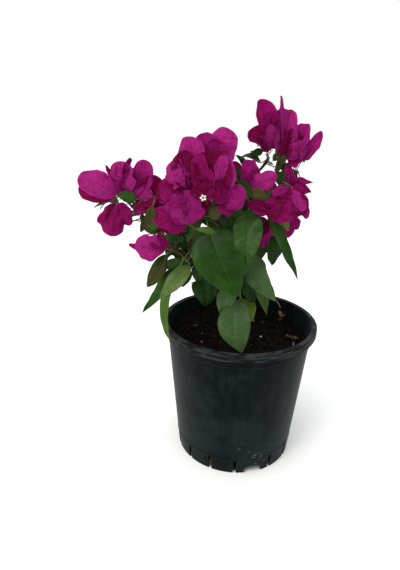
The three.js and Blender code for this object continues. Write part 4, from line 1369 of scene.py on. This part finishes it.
def potProfile():
    size = potSize
    base, wall, channel, channelTop = size["base"], size["wall"], size["channel"], size["channelTop"]
    rim, top, mouth, lip = size["rim"], size["height"], size["mouth"], size["lipRound"]
    shoulder, shoulderHeight, mark = size["shoulder"], size["shoulderHeight"], size["markHeight"]
    skirtFoot, under = top - size["skirtDrop"], top - size["skirtWall"] - 1
    inside, floorTop = rim - size["skirtWall"], channelTop + size["floor"]
    corner = 1.0

    def wallAt(height):
        return base + (size["wallTop"] - base) * ((height - corner) / (shoulderHeight - corner))

    # the underside with its channel, and the foot
    profile = [(0, 0.6), (base - channel - 8, 0.6), (base - channel - 6, 0), (base - channel - 2, 0)]
    profile += [(base - channel, channelTop - 1.5), (base - channel + 1.5, channelTop)]
    profile += [(base - 3, channelTop), (base - wall - 0.3, channelTop - 1.5), (base - wall, 0.6)]
    profile += [(base - wall + 0.4, 0), (base - 0.4, 0), (base + 0.02, 0.5)]
    # the wall with the moulding line
    profile += [(wallAt(height), height) for height in (1.2, 3, mark - 4, mark - 2.4)]
    profile += [(wallAt(mark) - 0.02, mark - 1.2), (wallAt(mark) + 0.35, mark - 0.3)]
    profile += [(wallAt(mark) + 0.35, mark + 0.3), (wallAt(mark), mark + 1.2)]
    profile += [(wallAt(height), height) for height in np.linspace(mark + 8, shoulderHeight - 1.2, 12)]
    # the collar, the skirt of the rim from inside to outside, and the lip
    profile += arc((shoulder - 0.7, shoulderHeight + 0.7), 0.7, -80, 0, 3)
    profile += [(shoulder, skirtFoot - 1), (shoulder, under - 1.4)]
    profile += arc((shoulder + 1.2, under - 1.4), 1.2, 180, 90, 3)
    profile += [(inside - 0.8, under - 0.2), (inside, under - 1), (inside, skirtFoot + 0.5)]
    profile += arc((inside + 0.8, skirtFoot + 0.6), 0.6, 200, 340, 4)
    profile += [(rim, skirtFoot + 1.2), (rim, skirtFoot + 3), (rim, top - lip - 2)]
    profile += arc((rim - lip, top - lip), lip, 0, 90, 6)
    profile += [(rim - 4.2, top - 0.15), (mouth + 1.4, top)]
    profile += arc((mouth + 1.2, top - 1.2), 1.2, 90, 180, 4)
    # the inside of the wall, and the floor
    profile += [(mouth - 0.4, shoulderHeight + 2), (wallAt(160) - wall, 162)]
    profile += [(wallAt(height) - wall, height) for height in (140, 100, 60, 20)]
    profile += [(base - 2.4, floorTop + 2), (base - 4, floorTop), (base - channel, floorTop)]
    return profile + [(base - channel - 3, size["floor"] + 2), (0, size["floor"] + 1)]


def uneven(rings):
    outward = rings * vec(1, 1, 0)
    outward /= np.linalg.norm(outward, axis=2)[..., None]
    share = np.clip(rings[..., 2] / 20, 0, 1) * (rings[..., 2] < potSize["height"] - 0.5)
    noise = smoothNoise(rings * vec(1, 1, 0.4), potSize["flutterWidth"], 12)
    return rings + outward * (potSize["flutter"] * share * noise)[..., None]


def cutterAt(turn, width, height, reach, corner):
    # a cutter through the pot's foot, facing the given turn from the front, with its top corners rounded off
    half, far, near = width / 2, potSize["base"] + 12, potSize["base"] - reach
    section = [(-half, -5), (half, -5)]
    section += arc((half - corner, height - corner), corner, 0, 90, 5)
    section += arc((-half + corner, height - corner), corner, 90, 180, 5)
    count = len(section)
    outer = [turned(vec(x, -far, z), up, turn) for x, z in section]
    inner = [turned(vec(x, -near, z), up, turn) for x, z in section]
    faces = [tuple(range(count)), tuple(range(2 * count - 1, count - 1, -1))]
    faces += [((at + 1) % count, at, at + count, (at + 1) % count + count) for at in range(count)]
    return outer + inner, faces


def drain(pot):
    size = drainSize
    notch = (size["notchWidth"], size["notchHeight"], size["notchReach"], size["notchHeight"] * 0.7)
    slot = (size["slotWidth"], size["slotHeight"], size["slotReach"], size["slotRound"])
    cuts = [(size["notchTurn"] + half, notch) for half in (0, 180)] + [(turn, slot) for turn in slotTurns()]
    points, faces = [], []
    for turn, sizes in cuts:
        corners, sides = cutterAt(turn, *sizes)
        faces += [tuple(index + len(points) for index in side) for side in sides]
        points += [corner * mm for corner in corners]
    mesh = bpy.data.meshes.new("cutter")
    mesh.from_pydata(points, [], faces)
    cutter = addObject("cutter", mesh)
    cut = pot.modifiers.new("drain", "BOOLEAN")
    cut.operation = "DIFFERENCE"
    cut.solver = "EXACT"
    cut.object = cutter
    applyModifiers(pot)
    bpy.data.objects.remove(cutter)
    bpy.data.meshes.remove(mesh)


def makePot():
    size, pile, profile = potSize, Pile(), potProfile()
    radii, heights = np.array(profile)[1:-2].T
    isRim = (heights > size["height"] - size["skirtDrop"] - 0.1) & (radii > size["mouth"] - 0.1)
    isInside = (np.arange(len(heights)) > heights.argmax()) & (radii <= size["mouth"] + 0.5)
    tones = np.repeat(np.where(isInside, 2, isRim.astype(int)), size["segments"])
    lathe(pile, profile, size["segments"], uneven, tones)
    kind = mouldedPolypropylene
    pot = makePiece("pot_shell", pile, [
        kind("moulded_black_polypropylene", "#030b0b", "#141f1e", "#27332f", 0.28, 0.42),
        kind("scuffed_polypropylene_rim", "#070c0d", "#181f20", "#565d5b", 0.6, 0.5, (0.3, 0.3, 2.8)),
        # the inside takes its own copy of the plastic, its colours lightened to stand in for light there:
        # painted light
        kind("painted_light_polypropylene_inside", "#0a0e0f", "#131b1d", "#1d2a2e", 0.4, 0.5)],
        ["pot"])
    drain(pot)
    pot.data.polygons.foreach_set("use_smooth", np.full(len(pot.data.polygons), True))
    pot.data.set_sharp_from_angle(angle=math.radians(smoothBelow))
    print("pot shell:", len(pot.data.polygons), "faces after the slots")


makePot()


# soil: a crumbly bed that fills the pot, with crumbs, dry litter and root fibres

soilSettings = {
    "fall": 0.05,           # the bed drops towards +X
    "waves": (1.6, 62),     # height and width of the bed's slow waves
    "clods": (0.78, 13),
    "crumble": (0.455, 5),
    "edgeGap": 0.4,
    "segments": 200,
    "crumbSeed": 31,
    "crumbCount": 2400,
    "bigCrumbShare": 0.16,
    "crumbSize": (0.45, 1.1),
    "bigCrumbSize": (1.1, 2.4),
    "slotCrumbs": 34,
    "slotCrumbSize": (1.6, 2.5),
    "litterSeed": 33,
    "flakeSeed": 900,
    "litterCount": 34,
    "litterLength": (2.5, 5),
    "fibreCount": 110,
}
crumbColours = {
    "peat_crumb": ("#050302", "#0f0a07"),
    "bark_crumb": ("#190d08", "#2b180f"),
    "olive_moss_crumb": ("#1d1b0d", "#2c2916"),
    "pale_bark_crumb": ("#33211a", "#4b3225"),
}
crumbShares = [0.76, 0.17, 0.045, 0.025]
litterColours = {
    "dry_pink_litter": ("#a4836c", "#3f281e", 0.8),
    "dry_red_litter": ("#4b2a22", "#26120e", 0.8),
    "dry_olive_litter": ("#5f5538", "#332c1b", 0.8),
    "coir_fibre": ("#2e1c0f", "#463020", 0.85),
    "dark_root_fibre": ("#140c07", "#241710", 0.85),
    "white_perlite": ("#e8e4da", "#cfcabf", 0.8),
    "pale_root_fibre": ("#3d3a2c", "#58543f", 0.85),
}
pink, red, olive, coir, darkRoot, perlite, paleRoot = range(len(litterColours))
# place across and along the bed, length, turn, rise and tone of the larger pieces, which lie at the right
fallen = [(64, 51, 12, 110, 42, pink), (64, 50, 9, 40, 30, pink), (64, 52, 9, 250, 8, pink),
          (58, 47, 9, 0, 30, red), (66, 46, 8, 200, 25, red), (22, 44, 8, 60, 35, pink),
          (25, 34, 7, 120, 10, pink), (31, 30, 5, 20, 5, red), (37, 30, 6, 90, 10, red),
          (45, 24, 6, 10, 15, red), (71, -4, 9, 170, 8, olive), (70, -7, 9, -10, 12, olive),
          (74, -9, 7, 60, 5, olive), (52, 8, 5, 30, 10, red)]
flake = dict(bractBlade, veins=3, columns=5, cup=64.0, wave=46.0, crinkle=1.3, crinkleSize=4.0, pleat=0.3)
soilRadius = placeIn("soil", (1, 1, 1))[0]
soilLevel = placeIn("trunk", (0, 0, 0))[2] - 0.5


def soilHeight(places):
    flat = places * vec(1, 1, 0)
    height = soilLevel - soilSettings["fall"] * places[..., 0]
    for number, name in enumerate(("waves", "clods", "crumble")):
        rise, width = soilSettings[name]
        height = height + rise * smoothNoise(flat, width, 21 + number, (5, 8, 12)[number])
    return height


def onBed(x, y, lift=0.0):
    return vec(x, y, soilHeight(vec(x, y, 0)[None])[0] + lift)


def seededSpot(rng, edge=3.0):
    radius = (soilRadius - edge) * math.sqrt(rng.uniform(0, 1))
    turn = rng.uniform(0, 2 * math.pi)
    return onBed(radius * math.cos(turn), radius * math.sin(turn))


def makeSoil():
    pile = Pile()
    foot = potSize["channelTop"] + potSize["floor"] + 0.4
    rise = [(0, foot), (potSize["base"] - 10, foot), (potSize["base"] - 4.5, foot + 1)]
    rise += [(soilRadius - 0.09 * (soilLevel - 8 - height), height) for height in (20, 60, 110, 150)]
    rise += [(soilRadius - soilSettings["edgeGap"], soilLevel - 6)]
    topRadii = (soilRadius - soilSettings["edgeGap"]) * np.linspace(1, 0.012, 75)
    top = [(radius, soilLevel) for radius in topRadii] + [(0, onBed(0, 0)[2])]

    def shaped(rings):
        surface = rings[len(rise) - 1:]
        surface[..., 2] = soilHeight(surface)
        return rings

    lathe(pile, rise + top, soilSettings["segments"], shaped)
    makePiece("soil_bed", pile, [crumblyPeat("damp_peat", "#030201", "#0c0805")], ["soil"])


def icosahedron():
    golden = (1 + 5 ** 0.5) / 2
    corners = [(-1, golden, 0), (1, golden, 0), (-1, -golden, 0), (1, -golden, 0),
               (0, -1, golden), (0, 1, golden), (0, -1, -golden), (0, 1, -golden),
               (golden, 0, -1), (golden, 0, 1), (-golden, 0, -1), (-golden, 0, 1)]
    faces = [(0, 11, 5), (0, 5, 1), (0, 1, 7), (0, 7, 10), (0, 10, 11), (1, 5, 9), (5, 11, 4), (11, 10, 2),
             (10, 7, 6), (7, 1, 8), (3, 9, 4), (3, 4, 2), (3, 2, 6), (3, 6, 8), (3, 8, 9), (4, 9, 5),
             (2, 4, 11), (6, 2, 10), (8, 6, 7), (9, 8, 1)]
    return np.array(corners) / math.hypot(1, golden), np.array(faces)


def finer(corners, faces):
    # splits each triangle in four and pushes the new corners out to the sphere
    corners = [tuple(corner) for corner in corners]
    middles = {}

    def middle(a, b):
        key = (min(a, b), max(a, b))
        if key not in middles:
            middles[key] = len(corners)
            corners.append(tuple(unit(np.array(corners[a]) + np.array(corners[b]))))
        return middles[key]

    split = []
    for a, b, c in faces:
        ab, bc, ca = middle(a, b), middle(b, c), middle(c, a)
        split += [(a, ab, ca), (b, bc, ab), (c, ca, bc), (ab, bc, ca)]
    return np.array(corners), np.array(split)


def clod(corners, seed):
    return corners * (1 + 0.3 * smoothNoise(corners, 1.6, seed))[:, None]


def slotSides():
    # the outward way and the way along the wall at each drain slot
    for turn in slotTurns():
        outward = turned(front, up, turn)
        yield outward, np.cross(up, outward)


def makeCrumbs(small, big):
    settings = soilSettings
    rng = np.random.default_rng(settings["crumbSeed"])
    pile = Pile()
    for number in range(settings["crumbCount"]):
        isBig = rng.uniform() < settings["bigCrumbShare"]
        corners, faces = big if isBig else small
        size = rng.uniform(*settings["bigCrumbSize" if isBig else "crumbSize"])
        place = seededSpot(rng)
        squash = rng.uniform(0.5, 1.2, 3)
        spin = np.array(Matrix.Rotation(rng.uniform(0, 6.28), 3, Vector(unit(rng.normal(size=3)))))
        tone = rng.choice(len(crumbShares), p=crumbShares)
        shape = clod(corners, number) * squash * size
        pile.add(place + vec(0, 0, size * 0.25) + shape @ spin.T, (faces, tone))
    corners, faces = big
    for outward, along in slotSides():
        # peat packed behind each drain slot
        for number in range(settings["slotCrumbs"]):
            size = rng.uniform(*settings["slotCrumbSize"])
            place = outward * (potSize["base"] - rng.uniform(4.2, 7)) + along * rng.uniform(-2.6, 2.6)
            lift = up * (size * 1.4 + rng.uniform(0, 17))
            pile.add(place + lift + clod(corners, number) * size, (faces, 0))
    makePiece("soil_crumbs", pile, [crumblyPeat(name, *look) for name, look in crumbColours.items()],
              smooth=False)


def addFlakes(pile, rng):
    # dry fallen bracts
    for number in range(soilSettings["litterCount"]):
        place = seededSpot(rng, 8) + vec(0, 0, 1.1)
        length, tone = rng.uniform(*soilSettings["litterLength"]), number % 2
        direction = heading(rng.uniform(0, 360), rng.uniform(-4, 26))
        if number < len(fallen):
            x, y, length, turn, rise, tone = fallen[number]
            place, direction = onBed(x, y, 1.3), heading(turn, rise)
        facing = up + 0.5 * rng.normal(size=3)
        addBlade(pile, place, place + direction * length, facing, length * 0.62, flake, (tone,) * 3,
                 soilSettings["flakeSeed"] + number, 1.0)


def addFibres(pile, rng):
    # on the bed, then in the drain slots
    for _ in range(soilSettings["fibreCount"]):
        route = [seededSpot(rng, 6) + vec(0, 0, 0.4)]
        direction = heading(rng.uniform(0, 360), 0)
        for _ in range(4):
            direction = unit(direction + 0.5 * rng.normal(size=3) * vec(1, 1, 0.3))
            spot = route[-1] + direction * rng.uniform(1.5, 4)
            route.append(onBed(spot[0], spot[1], rng.uniform(0.2, 1.2)))
        radius = rng.uniform(0.12, 0.3)
        addTube(pile, smoothRoute(route, 10), radius, 5, int(rng.choice([coir, darkRoot])))
    for outward, along in slotSides():
        for _ in range(rng.integers(3, 12)):
            low = outward * (potSize["base"] - rng.uniform(0.4, 3)) + along * rng.uniform(-1.6, 1.6)
            low = low + up * rng.uniform(0.8, 9)
            high = low + up * rng.uniform(5, 10) + along * rng.uniform(-0.6, 0.6)
            middle = (low + high) / 2 + outward * rng.uniform(0, 0.9)
            radius, tone = rng.uniform(0.2, 0.5), int(rng.choice([darkRoot, paleRoot, paleRoot]))
            addTube(pile, smoothRoute([low, middle, high], 7), radius, 5, tone)


def makeLitter(big):
    rng = np.random.default_rng(soilSettings["litterSeed"])
    pile = Pile()
    addFlakes(pile, rng)
    addFibres(pile, rng)
    corners, faces = big
    x, y, _ = placeIn("soil", (0.66, 0.45, 1))
    pile.add(onBed(x, y, 1.0) + corners * vec(1.5, 1.2, 1.1), (faces, perlite))
    makePiece("soil_litter", pile, [crumblyPeat(name, *look) for name, look in litterColours.items()])


makeSoil()
makeCrumbs(icosahedron(), finer(*icosahedron()))
makeLitter(finer(*icosahedron()))


# camera, floor and light

cameraSettings = {
    "place": (-0.0524, -0.5714, 0.4509),
    "pitch": 21.09,         # degrees down from level
    "roll": 1.34,
    "lens": 30.32,
    "sensor": 36.0,
}
floorReach = 6  # metres
lightAim = vec(0, 0, 0.25)
lights = {
    # name: kind, place, size in metres or angle in degrees, power, colour
    "sky": ("SUN", (-0.5, -0.6, 2.0), 40.0, 1.35, "#ffffff"),
    "front_left": ("AREA", (-1.0, -1.2, 1.3), 0.6, 9.0, "#fffaf2"),
    "behind": ("AREA", (1.0, 0.9, 0.8), 0.8, 3.0, "#f4f8ff"),
}


def makeCamera():
    settings = cameraSettings
    camera = addObject("camera", bpy.data.cameras.new("camera"))
    camera.data.lens = settings["lens"]
    camera.data.sensor_width = settings["sensor"]
    camera.data.clip_start = 0.01
    pitch = Matrix.Rotation(math.radians(90 - settings["pitch"]), 3, "X")
    turn = pitch @ Matrix.Rotation(math.radians(settings["roll"]), 3, "Z")
    camera.matrix_world = Matrix.Translation(settings["place"]) @ turn.to_4x4()
    bpy.context.scene.camera = camera


def makeFloor():
    mesh = bpy.data.meshes.new("floor")
    corners = [(-1, -1, 0), (1, -1, 0), (1, 1, 0), (-1, 1, 0)]
    mesh.from_pydata([vec(*corner) * floorReach for corner in corners], [], [(0, 1, 2, 3)])
    floor = addObject("floor", mesh)
    material, tree, _ = newMaterial("matt_white_board")
    shader = addNode(tree, "BsdfPrincipled", {"Base Color": linear("#f8f8f8"), "Roughness": 0.95})
    addNode(tree, "OutputMaterial", {"Surface": shader})
    mesh.materials.append(material)


def addLight(name, kind, place, size, power, colour):
    lamp = bpy.data.lights.new(name, kind)
    if kind == "SUN":
        lamp.angle = math.radians(size)
    else:
        lamp.size = size
    lamp.energy = power
    lamp.color = linear(colour)[:3]
    light = addObject(name, lamp)
    light.location = place
    light.rotation_euler = Vector(lightAim - place).to_track_quat("-Z", "Y").to_euler()


def makeWorld():
    # a white wall behind the plant, and a dimmer room in front of it
    world = bpy.data.worlds.new("studio")
    bpy.context.scene.world = world
    world.use_nodes = True
    tree = world.node_tree
    direction = addNode(tree, "TexCoord").outputs["Generated"]
    depth = addNode(tree, "SeparateXYZ", {"Vector": direction}).outputs["Y"]
    strength = addNode(tree, "MapRange", {
        "Value": depth, "From Min": -0.7, "From Max": 0.55, "To Min": 0.68})
    background = tree.nodes["Background"]
    tree.links.new(strength.outputs["Result"], background.inputs["Strength"])
    background.inputs["Color"].default_value = linear("#ffffff")


makeCamera()
makeFloor()
for name, settings in lights.items():
    addLight(name, *settings)
makeWorld()
bpy.context.scene.view_settings.view_transform = "Standard"
print("studio is ready")
